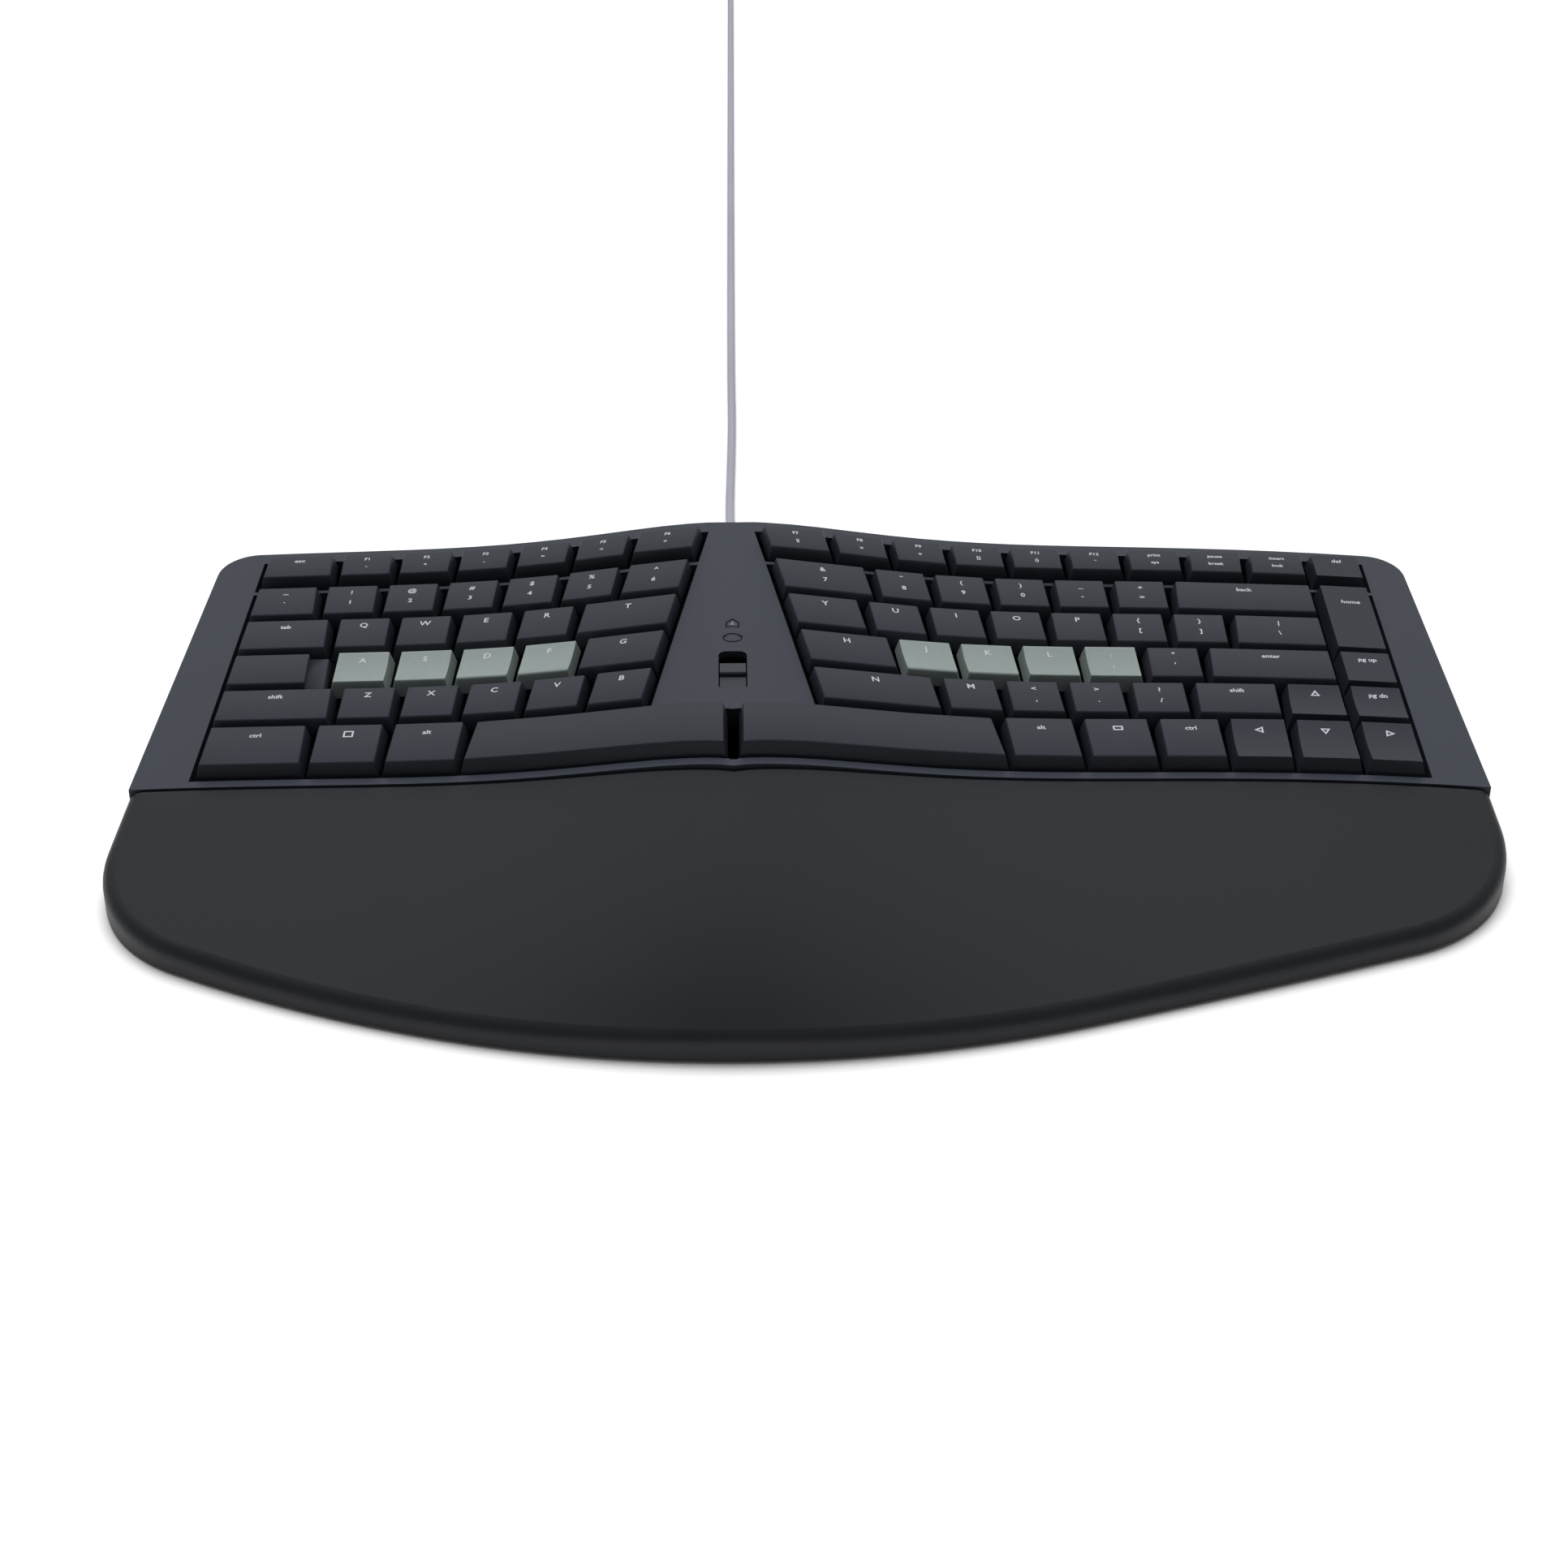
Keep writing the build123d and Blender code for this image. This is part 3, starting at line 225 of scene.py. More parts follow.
cordCurve = bpy.data.curves.new("cord", "CURVE")
cordCurve.dimensions = "3D"
cordCurve.bevel_depth = cordSizes["diameter"] / 2
cordCurve.bevel_resolution = 4
cordCurve.resolution_u = 4
cordCurve.use_fill_caps = True
cordLine = cordCurve.splines.new("NURBS")
cordPath = [Vector(point) * mm for point in cordRoute] + [Vector(point) for point in coilPoints()]
cordLine.points.add(len(cordPath) - 1)
for control, point in zip(cordLine.points, cordPath):
    control.co = (*(layout + point), 1.0)
cordLine.order_u = 3
cordLine.use_endpoint_u = True
cord = addObject("cord", cordCurve)
cordCurve.materials.append(materials["cordJacket"])
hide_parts("cord_run", "cord_coil")
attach(cord, "case")
print("cord:", len(cordPath), "points")

# Corners that are nearer than this are one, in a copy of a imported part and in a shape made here.
weld = {"copy": 0.002 * mm, "own": 0.001 * mm}


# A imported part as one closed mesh, with its flat faces whole. Angles are in degrees.
def mergedCopy(node, flatAngle=1.0):
    shape = bmesh.new()
    shape.from_mesh(cadNodes[node].data)
    bmesh.ops.remove_doubles(shape, verts=shape.verts, dist=weld["copy"])
    bmesh.ops.dissolve_limit(shape, angle_limit=math.radians(flatAngle), verts=shape.verts,
                             edges=shape.edges, delimit={"NORMAL"})
    return shape


# Rounds the convex edges that are longer than a limit, so that the short edges of a curve stay.
def roundEdges(shape, radius, segments=3, sharpAngle=25.0, longerThan=0.0):
    sharp = [edge for edge in shape.edges
             if edge.is_manifold and edge.calc_face_angle_signed(0) > math.radians(sharpAngle)
             and edge.calc_length() > longerThan]
    bmesh.ops.bevel(shape, geom=sharp, offset=radius, offset_type="OFFSET", segments=segments,
                    profile=0.5, affect="EDGES", clamp_overlap=True, material=-1)


def extrudeFaces(shape, faces, move):
    raised = bmesh.ops.extrude_face_region(shape, geom=faces)
    moved = [item for item in raised["geom"] if isinstance(item, bmesh.types.BMVert)]
    bmesh.ops.translate(shape, verts=moved, vec=move)


def boxShape(size, middle):
    shape = bmesh.new()
    bmesh.ops.create_cube(shape, size=1)
    bmesh.ops.scale(shape, verts=shape.verts, vec=size)
    bmesh.ops.translate(shape, verts=shape.verts, vec=middle)
    return shape


# Adds one shape to another and lets go of it.
def addShape(whole, shape):
    part = bpy.data.meshes.new("part")
    shape.to_mesh(part)
    shape.free()
    whole.from_mesh(part)
    bpy.data.meshes.remove(part)


def scaled(corners, unit):
    return [(x * unit, y * unit) for x, y in corners]


# Makes the finished piece from a shape: it rides on a body and stands for the nodes, if any.
def finishPiece(name, shape, body, nodes, surface, smoothAngle=40.0):
    mesh = bpy.data.meshes.new(name)
    shape.to_mesh(mesh)
    shape.free()
    mesh.shade_smooth()
    mesh.set_sharp_from_angle(angle=math.radians(smoothAngle))
    mesh.materials.append(materials[surface])
    piece = addObject(name, mesh)
    if nodes:
        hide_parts(*nodes)
    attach(piece, body)
    return piece


capSizes = {
    "edgeRadius": 0.45 * mm, "dishDrop": 0.55 * mm,
    "dishedAhead": 48 * mm,     # navigation caps that are further forward than this are dished
    "rowGap": 8 * mm,           # caps that are further apart than this are in different rows
    "skirtFacing": 0.8,         # how squarely a face looks forward or back if it is a skirt's
    # What counts as flat and as smooth, in degrees, and the edges that are rounded.
    "plain": {"flat": 1.0, "smooth": 40.0, "longerThan": 0.0},
    "dished": {"flat": 0.05, "smooth": 12.0, "longerThan": 2.5 * mm},
}
homeKeys = ["key_a", "key_s", "key_d", "key_f", "key_j", "key_k", "key_l", "semicolon_key"]
keyNodes = sorted(name for name in cadNodes if name != "key_plates"
                  and (name.startswith("key_") or name.endswith(("_key", "_keys", "_bar"))))


# The separate caps of a shape, each as a set of its corners.
def islands(shape):
    left = set(shape.verts)
    found = []
    while left:
        waiting = [left.pop()]
        island = set(waiting)
        while waiting:
            vert = waiting.pop()
            near = {edge.other_vert(vert) for edge in vert.link_edges} & left
            left -= near
            island |= near
            waiting.extend(near)
        found.append(island)
    return found


# The top of a cap: its middle, its directions and its depth, from its front and rear skirts.
def capTop(island):
    faces = {face for vert in island for face in vert.link_faces}

    def faceY(face):
        return face.calc_center_median().y

    def topCorners(face):
        corners = sorted((vert.co for vert in face.verts), key=lambda co: co.x)
        leftTop = max(corners[:2], key=lambda co: co.z)
        rightTop = max(corners[-2:], key=lambda co: co.z)
        return leftTop.copy(), rightTop.copy()

    front = min((face for face in faces if face.normal.y < -capSizes["skirtFacing"]), key=faceY)
    rear = max((face for face in faces if face.normal.y > capSizes["skirtFacing"]), key=faceY)
    frontLeft, frontRight = topCorners(front)
    rearLeft, rearRight = topCorners(rear)
    across = (frontRight - frontLeft).normalized()
    middle = (frontLeft + frontRight + rearLeft + rearRight) / 4
    depthways = rearLeft + rearRight - frontLeft - frontRight
    up = across.cross(depthways).normalized()
    back = up.cross(across)
    return {"middle": middle, "across": across, "back": back, "up": up, "depth": depthways.dot(back) / 2}


# Rear row first, and from left to right in each row.
def inReadingOrder(tops):
    rows = []
    for top in sorted(tops, key=lambda top: -top["middle"].y):
        if not rows or rows[-1][-1]["middle"].y - top["middle"].y > capSizes["rowGap"]:
            rows.append([])
        rows[-1].append(top)
    return [top for row in rows for top in sorted(row, key=lambda top: top["middle"].x)]


capTops = {}
for node in keyNodes:
    home = node in homeKeys
    form = capSizes["dished" if home or node == "navigation_keys" else "plain"]
    shape = mergedCopy(node, form["flat"])
    shape.normal_update()
    if not node.endswith("_bar"):
        capTops[node] = inReadingOrder([capTop(island) for island in islands(shape)])
    roundEdges(shape, capSizes["edgeRadius"], longerThan=form["longerThan"])
    finishPiece(node + "_cap", shape, node, [node],
                "homeKeyPlastic" if home else "keyPlastic", form["smooth"])
print("key caps:", len(keyNodes))

legendSizes = {
    "letter": 3.3 * mm, "word": 2.6 * mm, "sign": 2.9 * mm, "small": 2.1 * mm,
    "figure": 1.5 * mm,               # half the width of an outlined figure
    "thick": 0.03 * mm, "lift": 0.035 * mm, "line": 0.5 * mm, "bold": 0.06 * mm,
    "upper": 0.24, "lower": -0.12,    # places behind a cap's middle, as shares of its depth
}
# Corners of the outlined figures, as shares of half their width.
figures = {
    "up": [(-1, -0.8), (1, -0.8), (0, 1)],
    "down": [(1, 0.8), (-1, 0.8), (0, -1)],
    "left": [(0.8, -1), (0.8, 1), (-1, 0)],
    "right": [(-0.8, 1), (-0.8, -1), (1, 0)],
    "square": [(-1, -1), (1, -1), (1, 1), (-1, 1)],
    "menu": [(-1, -0.7), (1, -0.7), (1, 0.7), (-1, 0.7)],
}


def textMesh(words, size):
    curve = bpy.data.curves.new("words", "FONT")
    curve.body = words
    curve.size = size
    curve.align_x = "CENTER"
    curve.align_y = "CENTER"
    curve.resolution_u = 2
    curve.extrude = legendSizes["thick"] / 2
    curve.offset = legendSizes["bold"]
    carrier = addObject("words", curve)
    bpy.context.view_layer.update()
    mesh = bpy.data.meshes.new_from_object(carrier.evaluated_get(bpy.context.evaluated_depsgraph_get()))
    bpy.data.objects.remove(carrier)
    shape = bmesh.new()
    shape.from_mesh(mesh)
    bmesh.ops.remove_doubles(shape, verts=shape.verts, dist=weld["own"])
    bpy.data.meshes.remove(mesh)
    return shape


# An outlined figure such as an arrow head: a ring of corners, drawn in by the line's width.
def outlineMesh(corners, line):
    shape = bmesh.new()
    face = shape.faces.new([shape.verts.new((x, y, -legendSizes["thick"] / 2)) for x, y in corners])
    face.normal_update()
    bmesh.ops.inset_individual(shape, faces=[face], thickness=line, use_even_offset=True)
    bmesh.ops.delete(shape, geom=[face], context="FACES_ONLY")
    extrudeFaces(shape, list(shape.faces), (0, 0, legendSizes["thick"]))
    bmesh.ops.recalc_face_normals(shape, faces=shape.faces)
    return shape


# A mark on a cap is its words or figure, the name of its size and the name of its place.
def one(words, size="letter"):
    return [(words, size, "upper")]


def two(above, below, size="sign"):
    return [(above, size, "upper"), (below, size, "lower")]


functionSigns = ("-", "+", "..", "=", "<", ">", "||", "x", "o", "[]", "()", "*")
numberSigns = ("!", "@", "#", "$", "%", "^", "&", "*", "(", ")")
legends = {"key_" + letter: [one(letter.upper())] for letter in "abcdefghijklmnopqrstuvwxyz"}
legends.update({
    "semicolon_key": [two(":", ";")],
    "escape_key": [one("esc", "word")],
    "tab_key": [one("tab", "word")],
    "caps_lock_key": [one("caps", "word")],
    "left_shift_key": [one("shift", "word")],
    "right_shift_key": [one("shift", "word")],
    "enter_key": [one("enter", "word")],
    "backspace_key": [one("back", "word")],
    "function_keys": [two("F%d" % number, sign, "small") for number, sign in enumerate(functionSigns, 1)]
    + [two("print", "sys", "small"), two("pause", "break", "small"), two("insert", "lock", "small")],
    "number_keys": [two(above, below) for above, below in zip(numberSigns, "1234567890")],
    "punctuation_keys": [two("~", "`"), two("_", "-"), two("+", "="), two("{", "["), two("}", "]"),
                         two("|", "\\"), two("\"", "'"), two("<", ","), two(">", "."), two("?", "/")],
    "modifier_keys": [one("ctrl", "word"), one("square"), one("alt", "word"), one("alt", "word"),
                      one("menu"), one("ctrl", "word")],
    "navigation_keys": [one("del", "word"), one("home", "word"), one("pg up", "word"), one("up"),
                        one("pg dn", "word"), one("left"), one("down"), one("right")],
})


def legendMesh(words, size):
    if words in figures:
        return outlineMesh(scaled(figures[words], legendSizes["figure"]), legendSizes["line"])
    return textMesh(words, legendSizes[size])


def isDished(node, top):
    forward = layout.y - top["middle"].y > capSizes["dishedAhead"]
    return node in homeKeys or node == "navigation_keys" and forward


# Lays a node's legends on its caps. On a dished cap they sink with it towards its middle.
def printLegends(node):
    joined = bmesh.new()
    for top, marks in zip(capTops[node], legends[node]):
        dished = isDished(node, top)
        turn = Matrix((top["across"], top["back"], top["up"])).transposed().to_4x4()
        for words, size, away in marks:
            shape = legendMesh(words, size)
            for vert in shape.verts:
                vert.co.y += top["depth"] * legendSizes[away]
                vert.co.z += legendSizes["lift"]
                if dished:
                    vert.co.z -= capSizes["dishDrop"] * (1 - (2 * vert.co.y / top["depth"]) ** 2)
            shape.transform(Matrix.Translation(top["middle"]) @ turn)
            addShape(joined, shape)
    whole = bpy.data.meshes.new(node + "_legend")
    joined.to_mesh(whole)
    joined.free()
    whole.materials.append(materials["legendInk"])
    piece = addObject(node + "_legend", whole)
    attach(piece, node)


for node in capTops:
    printLegends(node)
print("legends:", len(capTops))

# The wave that the spine crests on, over a plane that is tilted up to the rear.
waveSizes = {"rise": 17.2 * mm, "width": 58 * mm, "power": 1.6, "planeHeight": 27.3 * mm,
             "tilt": math.radians(4.9)}


def waveFall(x):
    return waveSizes["rise"] * (1 - math.exp(-((abs(x) / waveSizes["width"]) ** waveSizes["power"])))


# A frame on the spine at a depth below the key tops: X to the right, Y up the plane, Z out of it.
def spineFrame(y, depth):
    tilt = waveSizes["tilt"]
    top = layout + Vector((0, y, waveSizes["planeHeight"] + waveSizes["rise"] + y * math.tan(tilt)))
    inwards = Vector((0, math.sin(tilt), -math.cos(tilt)))
    return Matrix.Translation(top + inwards * depth) @ Matrix.Rotation(tilt, 4, "X")


knobSizes = {
    "y": -66.79 * mm, "deckDepth": 3.8 * mm, "width": 7.7 * mm, "edge": 0.25 * mm,
    "corner": 2 * mm,       # radius of the upright edges at the front and the rear
    "cornerY": 6.4 * mm,    # they stand further than this from the middle
    "upright": 1 * mm,      # and rise by more than this
    # Side view in millimetres, to the rear and up from the deck: a raised pad behind a low tongue.
    "side": [(-6.5, -6.0), (6.5, -6.0), (6.5, -0.4), (6.1, 0.15), (1.2, 0.45), (0.8, 0.1),
             (0.7, -1.3), (0.2, -1.3), (0.0, -0.7), (-6.5, -1.1)],
}


def makeKnob():
    shape = bmesh.new()
    width = knobSizes["width"]
    side = shape.faces.new([shape.verts.new((-width / 2, y, z)) for y, z in scaled(knobSizes["side"], mm)])
    extrudeFaces(shape, [side], (width, 0, 0))
    bmesh.ops.recalc_face_normals(shape, faces=shape.faces)
    corners = [edge for edge in shape.edges
               if all(abs(vert.co.y) > knobSizes["cornerY"] for vert in edge.verts)
               and abs(edge.verts[0].co.z - edge.verts[1].co.z) > knobSizes["upright"]]
    bmesh.ops.bevel(shape, geom=corners, offset=knobSizes["corner"], offset_type="OFFSET", segments=5,
                    profile=0.5, affect="EDGES", clamp_overlap=True, material=-1)
    roundEdges(shape, knobSizes["edge"], segments=2, sharpAngle=20)
    shape.transform(spineFrame(knobSizes["y"], knobSizes["deckDepth"]))
    finishPiece("slide_knob", shape, "mode_switch_knob", ["mode_switch_knob"],
                "knobPlastic")


makeKnob()

# The marks behind the knob. Their corners are in millimetres, to the right and to the rear.
markSizes = {
    "lift": 0.04 * mm, "line": 0.42 * mm, "houseY": -39.0 * mm, "ringY": -46.8 * mm,
    "house": [(-2.1, -2.2), (2.1, -2.2), (2.1, 0.4), (0, 2.6), (-2.1, 0.4)],
    "light": [(-0.9, -1.1), (0.9, -1.1), (0, 1.2)],
    "ring": (3.0, 2.4), "ringCorners": 32,    # half its width and its height
}


def ringOutline():
    halfWide, halfHigh = markSizes["ring"]
    count = markSizes["ringCorners"]
    return [(halfWide * math.cos(2 * math.pi * step / count), halfHigh * math.sin(2 * math.pi * step / count))
            for step in range(count)]


# A mark lies on the wave: each of its points sinks as the deck does.
def layOnSpine(name, shape, y, surface):
    for vert in shape.verts:
        vert.co.z += markSizes["lift"] + legendSizes["thick"] - waveFall(vert.co.x)
    shape.transform(spineFrame(y, knobSizes["deckDepth"]))
    finishPiece(name, shape, "case", [], surface)


def makeLight():
    shape = bmesh.new()
    face = shape.faces.new([shape.verts.new((x, y, 0)) for x, y in scaled(markSizes["light"], mm)])
    extrudeFaces(shape, [face], (0, 0, legendSizes["thick"]))
    bmesh.ops.recalc_face_normals(shape, faces=shape.faces)
    return shape


layOnSpine("house_mark", outlineMesh(scaled(markSizes["house"], mm), markSizes["line"]),
           markSizes["houseY"], "markInk")
layOnSpine("ring_mark", outlineMesh(scaled(ringOutline(), mm), markSizes["line"]),
           markSizes["ringY"], "markInk")
layOnSpine("status_light", makeLight(), markSizes["houseY"], "statusLight")
print("spine: knob and marks")

# The strain relief, with its places to the rear of the wall that it comes out of.
reliefSizes = {
    "wallY": 19.59 * mm, "height": 12 * mm, "rootRadius": 3.4 * mm, "tipRadius": 2.1 * mm,
    "tipEdge": 0.4 * mm, "length": 24 * mm, "sides": 32,
    "grooves": 8, "firstGroove": 2.4 * mm, "groovePitch": 2.5 * mm,
    "grooveWidth": 1.2 * mm, "grooveSlope": 0.25 * mm, "grooveDepth": 0.5 * mm,
    "flangeRadius": 5 * mm, "flangeFront": -4.6 * mm, "flangeRear": -2.6 * mm,
}


# A profile of radius and place to the rear, spun about the line of the cord.
def spunToRear(profile, sides, middle):
    shape = bmesh.new()
    verts = [shape.verts.new((radius, along, 0)) for radius, along in profile]
    edges = [shape.edges.new(pair) for pair in zip(verts, verts[1:])]
    bmesh.ops.spin(shape, geom=verts + edges, cent=(0, 0, 0), axis=(0, 1, 0), steps=sides,
                   angle=2 * math.pi, use_merge=True)
    bmesh.ops.remove_doubles(shape, verts=shape.verts, dist=weld["own"])
    bmesh.ops.recalc_face_normals(shape, faces=shape.faces)
    bmesh.ops.translate(shape, verts=shape.verts, vec=middle)
    return shape


# A flange inside the wall and a grooved taper outside it.
def reliefProfile():
    sizes = reliefSizes
    root, tip, end, edge = sizes["rootRadius"], sizes["tipRadius"], sizes["length"], sizes["tipEdge"]
    flange, front, rear = sizes["flangeRadius"], sizes["flangeFront"], sizes["flangeRear"]
    width, slope = sizes["grooveWidth"], sizes["grooveSlope"]
    lean = (root - tip) / end
    profile = [(0, front), (flange, front), (flange, rear), (root, rear), (root, 0)]
    for groove in range(sizes["grooves"]):
        start = sizes["firstGroove"] + groove * sizes["groovePitch"]
        for ahead, depth in ((0, 0), (slope, 1), (width - slope, 1), (width, 0)):
            place = start + ahead
            profile.append((root - lean * place - sizes["grooveDepth"] * depth, place))
    return profile + [(tip, end - edge), (tip - edge, end), (0, end)]


reliefMiddle = layout + Vector((0, reliefSizes["wallY"], reliefSizes["height"]))
relief = finishPiece("strain_relief", spunToRear(reliefProfile(), reliefSizes["sides"], reliefMiddle),
                     "case", ["cord_strain_relief"], "reliefRubber")

# The plug, from the end of the cord to the rear. A size of three numbers is width, length, height.
plugSizes = {
    "sleeve": 10 * mm, "sleeveRadius": 2.6 * mm, "sleeveSides": 24,
    "sleeveMouth": 0.8, "sleeveFlare": 1.25,    # shares of its radius at its two ends
    "sleeveLip": 0.4 * mm, "sleeveBefore": 0.5 * mm, "sleeveInBody": 1 * mm,
    "body": (15.6 * mm, 24 * mm, 10 * mm), "bodyEdge": 1.8 * mm,
    "grooves": 4, "firstGroove": 7 * mm, "groovePitch": 2.4 * mm,
    "grooveWidth": 1.2 * mm, "grooveSlope": 0.3 * mm, "grooveDepth": 0.45 * mm,
    "shell": (12 * mm, 12 * mm, 4.5 * mm), "shellEdge": 0.5 * mm, "wall": 0.4 * mm,
    "mouthFacing": 0.9,     # how squarely the face at the shell's mouth looks to the rear
    "window": 2.2 * mm, "windowThick": 0.06 * mm, "windowsApart": 5 * mm, "windowsBehind": 1 * mm,
    "tongueThick": 1.8 * mm, "tongueEdge": 0.15 * mm,
    "tongueClear": 1.2, "tongueShort": 1.5,     # walls that it stays inside the shell's sides and length
}
plugStart = layout + cordPath[-1]
bodyStart = plugStart.y + plugSizes["sleeve"]
shellStart = bodyStart + plugSizes["body"][1]
shellMiddle = Vector((plugStart.x, shellStart + plugSizes["shell"][1] / 2, plugStart.z))


def makeSleeve():
    sizes = plugSizes
    radius, before = sizes["sleeveRadius"], sizes["sleeveBefore"]
    end = sizes["sleeve"] + sizes["sleeveInBody"]
    profile = [(0, -before), (radius * sizes["sleeveMouth"], -before), (radius, sizes["sleeveLip"]),
               (radius * sizes["sleeveFlare"], end), (0, end)]
    return spunToRear(profile, sizes["sleeveSides"], plugStart)


# A rounded body with finger grooves down both sides, and the sleeve on the cord.
def makeGrip():
    sizes = plugSizes
    bodyWidth, bodyLength = sizes["body"][:2]
    width, slope = sizes["grooveWidth"], sizes["grooveSlope"]
    grip = boxShape(sizes["body"], Vector((plugStart.x, bodyStart + bodyLength / 2, plugStart.z)))
    roundEdges(grip, sizes["bodyEdge"], segments=5)
    for groove in range(sizes["grooves"]):
        start = bodyStart + sizes["firstGroove"] + groove * sizes["groovePitch"]
        for ahead in (0, slope, width - slope, width):
            bmesh.ops.bisect_plane(grip, geom=grip.verts[:] + grip.edges[:] + grip.faces[:],
                                   plane_co=(0, start + ahead, 0), plane_no=(0, 1, 0))
        for vert in grip.verts:
            inGroove = start + slope / 2 < vert.co.y < start + width - slope / 2
            if inGroove and abs(vert.co.x - plugStart.x) > bodyWidth / 4:
                vert.co.x += math.copysign(sizes["grooveDepth"], plugStart.x - vert.co.x)
    addShape(grip, makeSleeve())
    return finishPiece("plug_grip", grip, "case", ["cord_plug"], "plugPlastic")


def makeShell():
    wall = plugSizes["wall"]
    shell = boxShape(plugSizes["shell"], shellMiddle)
    roundEdges(shell, plugSizes["shellEdge"])
    shell.normal_update()
    mouth = [face for face in shell.faces if face.normal.y > plugSizes["mouthFacing"]]
    bmesh.ops.inset_region(shell, faces=mouth, thickness=wall, use_even_offset=True)
    extrudeFaces(shell, mouth, (0, wall - plugSizes["shell"][1], 0))
    return finishPiece("plug_shell", shell, "case", [], "plugShell")


# Two dark windows each in the top and the underside of the shell.
def makeWindows():
    sizes = plugSizes
    windows = bmesh.new()
    for side in (-1, 1):
        for level in (-1, 1):
            away = Vector((side * sizes["windowsApart"] / 2, sizes["windowsBehind"],
                           level * sizes["shell"][2] / 2))
            size = (sizes["window"], sizes["window"], sizes["windowThick"])
            addShape(windows, boxShape(size, shellMiddle + away))
    return finishPiece("plug_windows", windows, "case", [], "switchPlastic")


# The tongue lies low in the shell.
def makeTongue():
    sizes = plugSizes
    wide, long, high = sizes["shell"]
    clear = 2 * sizes["tongueClear"] * sizes["wall"]
    drop = (high - clear - sizes["tongueThick"]) / 2
    tongue = boxShape((wide - clear, long - sizes["tongueShort"] * sizes["wall"], sizes["tongueThick"]),
                      shellMiddle + Vector((0, 0, -drop)))
    roundEdges(tongue, sizes["tongueEdge"], segments=2)
    return finishPiece("plug_tongue", tongue, "case", [], "switchPlastic")


plugPieces = [makeGrip(), makeShell(), makeWindows(), makeTongue()]
print("strain relief and plug:", 1 + len(plugPieces), "pieces")

undersideSizes = {
    "legEdge": 0.5 * mm, "legEdgesOver": 4 * mm, "footEdge": 0.25 * mm,
    "sharp": 60,                                       # degrees between faces whose edge is rounded
    "driveRim": 1.25 * mm, "driveDepth": 0.7 * mm,
    # What tells the outer face of a screw's head: how squarely it looks down, its height and its area.
    "headFacing": 0.99, "headBelow": 2 * mm, "headOver": 15 * mm * mm,
}
for node in ("left_tilt_leg", "right_tilt_leg"):
    leg = mergedCopy(node)
    roundEdges(leg, undersideSizes["legEdge"], sharpAngle=undersideSizes["sharp"],
               longerThan=undersideSizes["legEdgesOver"])
    finishPiece(node.replace("tilt_leg", "leg"), leg, node, [node], "basePlastic")
feet = mergedCopy("rubber_feet")
roundEdges(feet, undersideSizes["footEdge"], segments=2, sharpAngle=undersideSizes["sharp"])
finishPiece("feet", feet, "case", ["rubber_feet"], "footRubber")

# The screws get a recess for the driver, drawn in from the rim of each head.
screws = mergedCopy("case_screws")
screws.normal_update()
heads = [face for face in screws.faces if face.normal.z < -undersideSizes["headFacing"]
         and face.calc_center_median().z < undersideSizes["headBelow"]
         and face.calc_area() > undersideSizes["headOver"]]
bmesh.ops.inset_individual(screws, faces=heads, thickness=undersideSizes["driveRim"], use_even_offset=True)
for face in heads:
    for vert in face.verts:
        vert.co.z += undersideSizes["driveDepth"]
finishPiece("screws", screws, "case", ["case_screws"], "pinSteel")
print("underside:", len(heads), "screw heads")

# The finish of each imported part, the hidden ones too.
surfaces = {
    "top_case": "casePlastic", "bottom_case": "basePlastic", "palm_rest": "palmPlastic",
    "key_plates": "plateSteel", "circuit_boards": "boardLaminate", "switch_housings": "switchPlastic",
    "stabiliser_guides": "switchPlastic", "mode_switch_body": "switchPlastic",
    "mode_switch_knob": "knobPlastic", "indicator_lenses": "lampLens",
    "cord_strain_relief": "reliefRubber", "cord_run": "cordJacket", "cord_coil": "cordJacket",
    "cord_plug": "plugPlastic", "left_tilt_leg": "basePlastic", "right_tilt_leg": "basePlastic",
    "tilt_leg_pins": "pinSteel", "rubber_feet": "footRubber", "case_screws": "pinSteel",
}
for node in keyNodes:
    surfaces[node] = "homeKeyPlastic" if node in homeKeys else "keyPlastic"
for node, surface in surfaces.items():
    mesh = cadNodes[node].data
    mesh.materials.clear()
    mesh.materials.append(materials[surface])
print("packed parts with a finish:", len(surfaces))

floorSizes = {"size": 6, "tone": 0.9, "rough": 0.8}
floorMesh = bpy.data.meshes.new("floor")
floorShape = bmesh.new()
bmesh.ops.create_grid(floorShape, x_segments=1, y_segments=1, size=floorSizes["size"])
floorShape.to_mesh(floorMesh)
floorShape.free()
floor = addObject("floor", floorMesh)
floorMaterial = bpy.data.materials.new("floorPaper")
floorMaterial.use_nodes = True
floorShader = floorMaterial.node_tree.nodes["Principled BSDF"]
floorShader.inputs["Base Color"].default_value = [floorSizes["tone"]] * 3 + [1]
floorShader.inputs["Roughness"].default_value = floorSizes["rough"]
floorMesh.materials.append(floorMaterial)

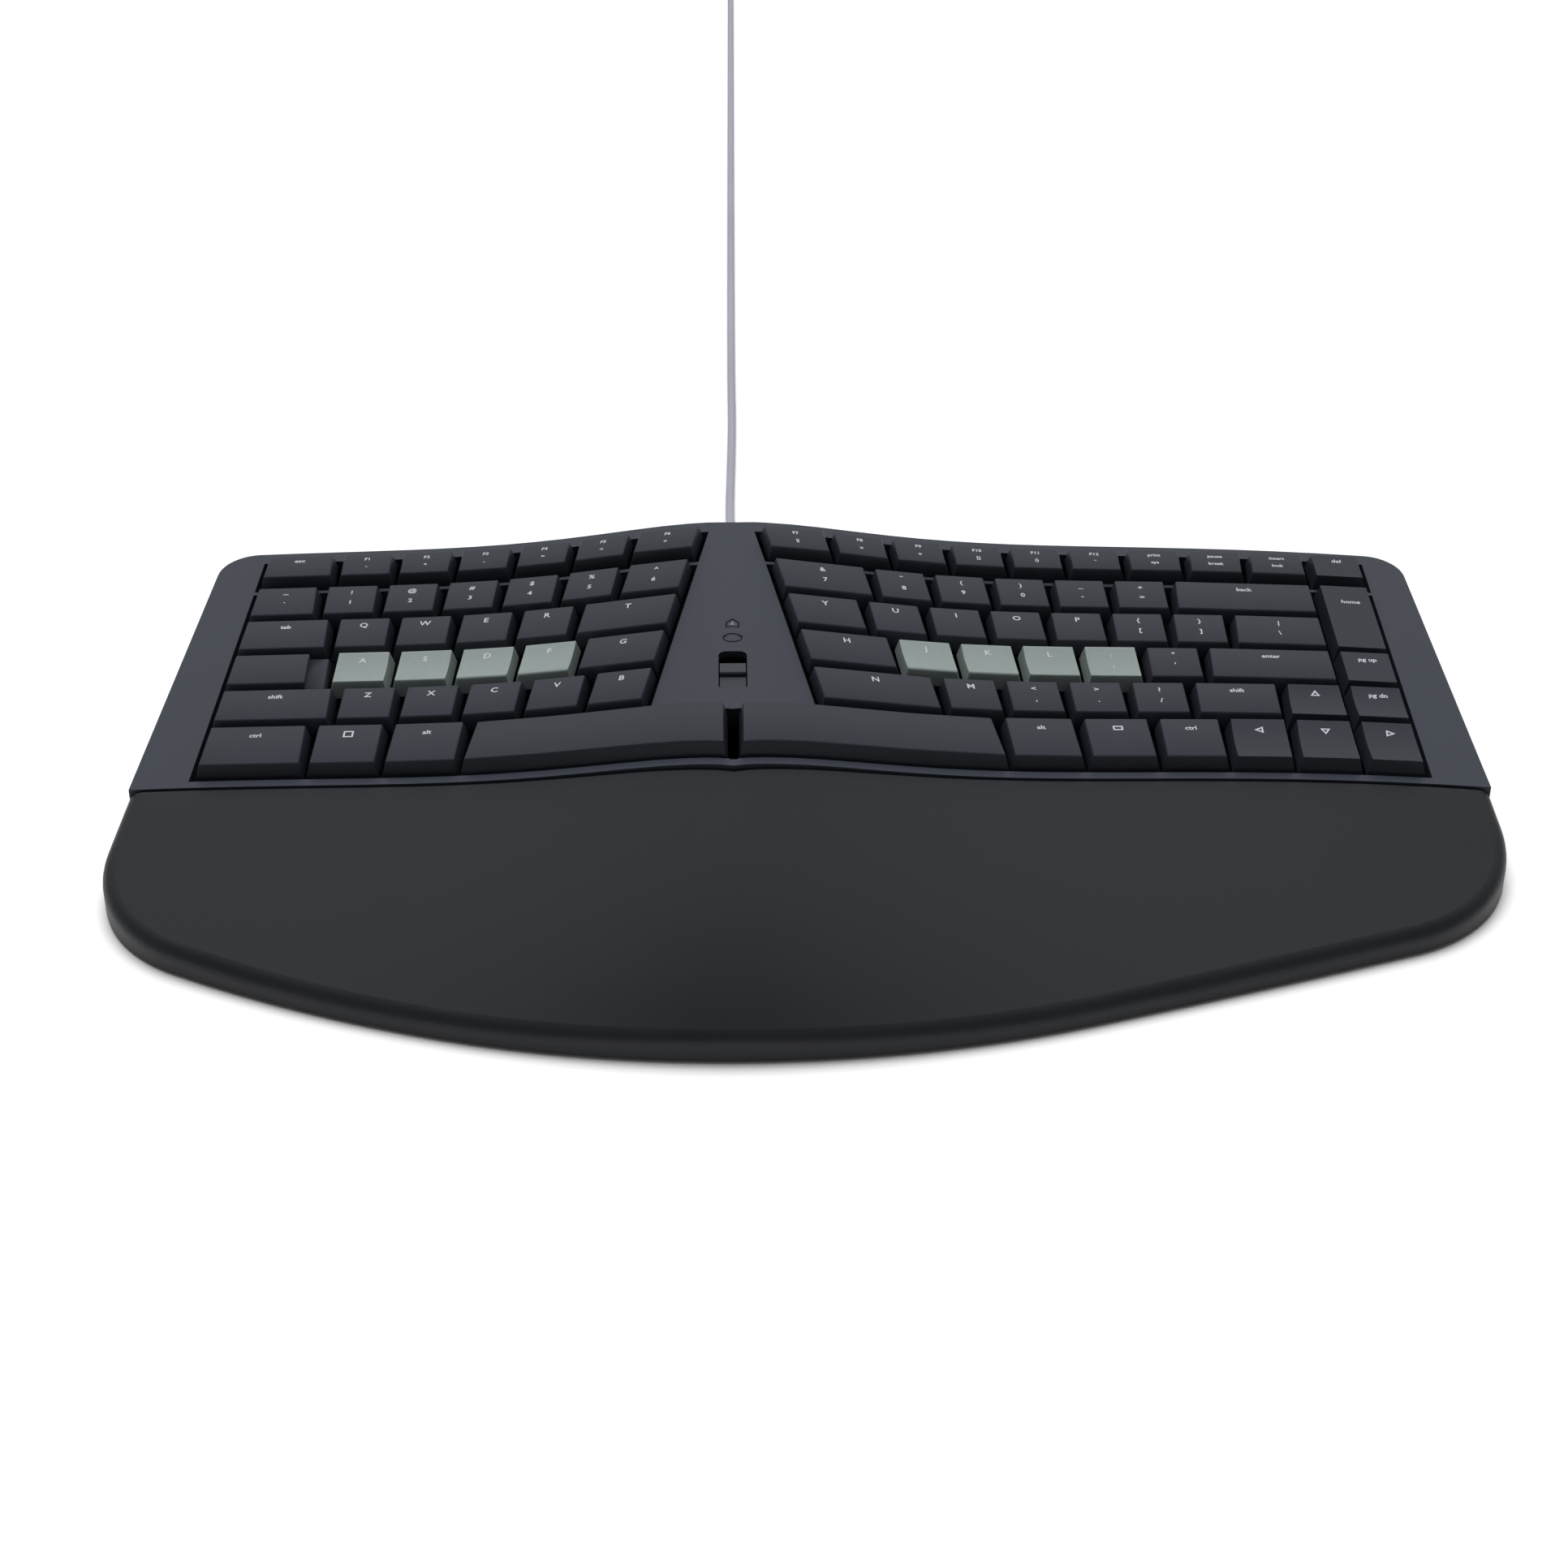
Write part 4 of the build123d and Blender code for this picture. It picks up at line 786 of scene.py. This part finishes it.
lightSizes = {
    "glowHeight": math.radians(38),     # of the brightest part of the sky, behind the keyboard
    "glowWidth": 0.5,                   # 1 is round, less is a band across
    # How squarely a direction faces that part, and how bright the sky is there.
    "sky": [(0.0, 0.20), (0.80, 0.25), (0.93, 0.55), (1.0, 1.0)],
    "sunTurn": (-20, -3, 0),     # degrees: from above and behind, a little from the left
    "sunAngle": 50,              # degrees across, which makes its shadows soft
    "sunStrength": 3.3,
}
world = bpy.data.worlds.new("studio")
world.use_nodes = True
skyTree = world.node_tree


def skyVector(operation, value=(0, 0, 0)):
    node = skyTree.nodes.new("ShaderNodeVectorMath")
    node.operation = operation
    node.inputs[1].default_value = value
    return node


skyPlace = skyTree.nodes.new("ShaderNodeTexCoord")
skyWide = skyVector("MULTIPLY", (lightSizes["glowWidth"], 1, 1))
skyEven = skyVector("NORMALIZE")
glowHeight = lightSizes["glowHeight"]
skyFacing = skyVector("DOT_PRODUCT", (0, math.cos(glowHeight), math.sin(glowHeight)))
skyTones = skyTree.nodes.new("ShaderNodeValToRGB")
for share, tone in lightSizes["sky"][1:-1]:
    skyTones.color_ramp.elements.new(share)
for stop, (share, tone) in zip(skyTones.color_ramp.elements, lightSizes["sky"]):
    stop.position = share
    stop.color = (tone, tone, tone, 1)
skyTree.links.new(skyPlace.outputs["Generated"], skyWide.inputs[0])
skyTree.links.new(skyWide.outputs[0], skyEven.inputs[0])
skyTree.links.new(skyEven.outputs[0], skyFacing.inputs[0])
skyTree.links.new(skyFacing.outputs["Value"], skyTones.inputs["Fac"])
skyTree.links.new(skyTones.outputs["Color"], skyTree.nodes["Background"].inputs["Color"])
scene.world = world
scene.view_settings.view_transform = "Standard"

sunData = bpy.data.lights.new("overhead", "SUN")
sunData.energy = lightSizes["sunStrength"]
sunData.angle = math.radians(lightSizes["sunAngle"])
sun = addObject("overhead", sunData)
sun.rotation_euler = [math.radians(angle) for angle in lightSizes["sunTurn"]]
sun.visible_glossy = False    # the soft sky alone is mirrored
print("floor and light")
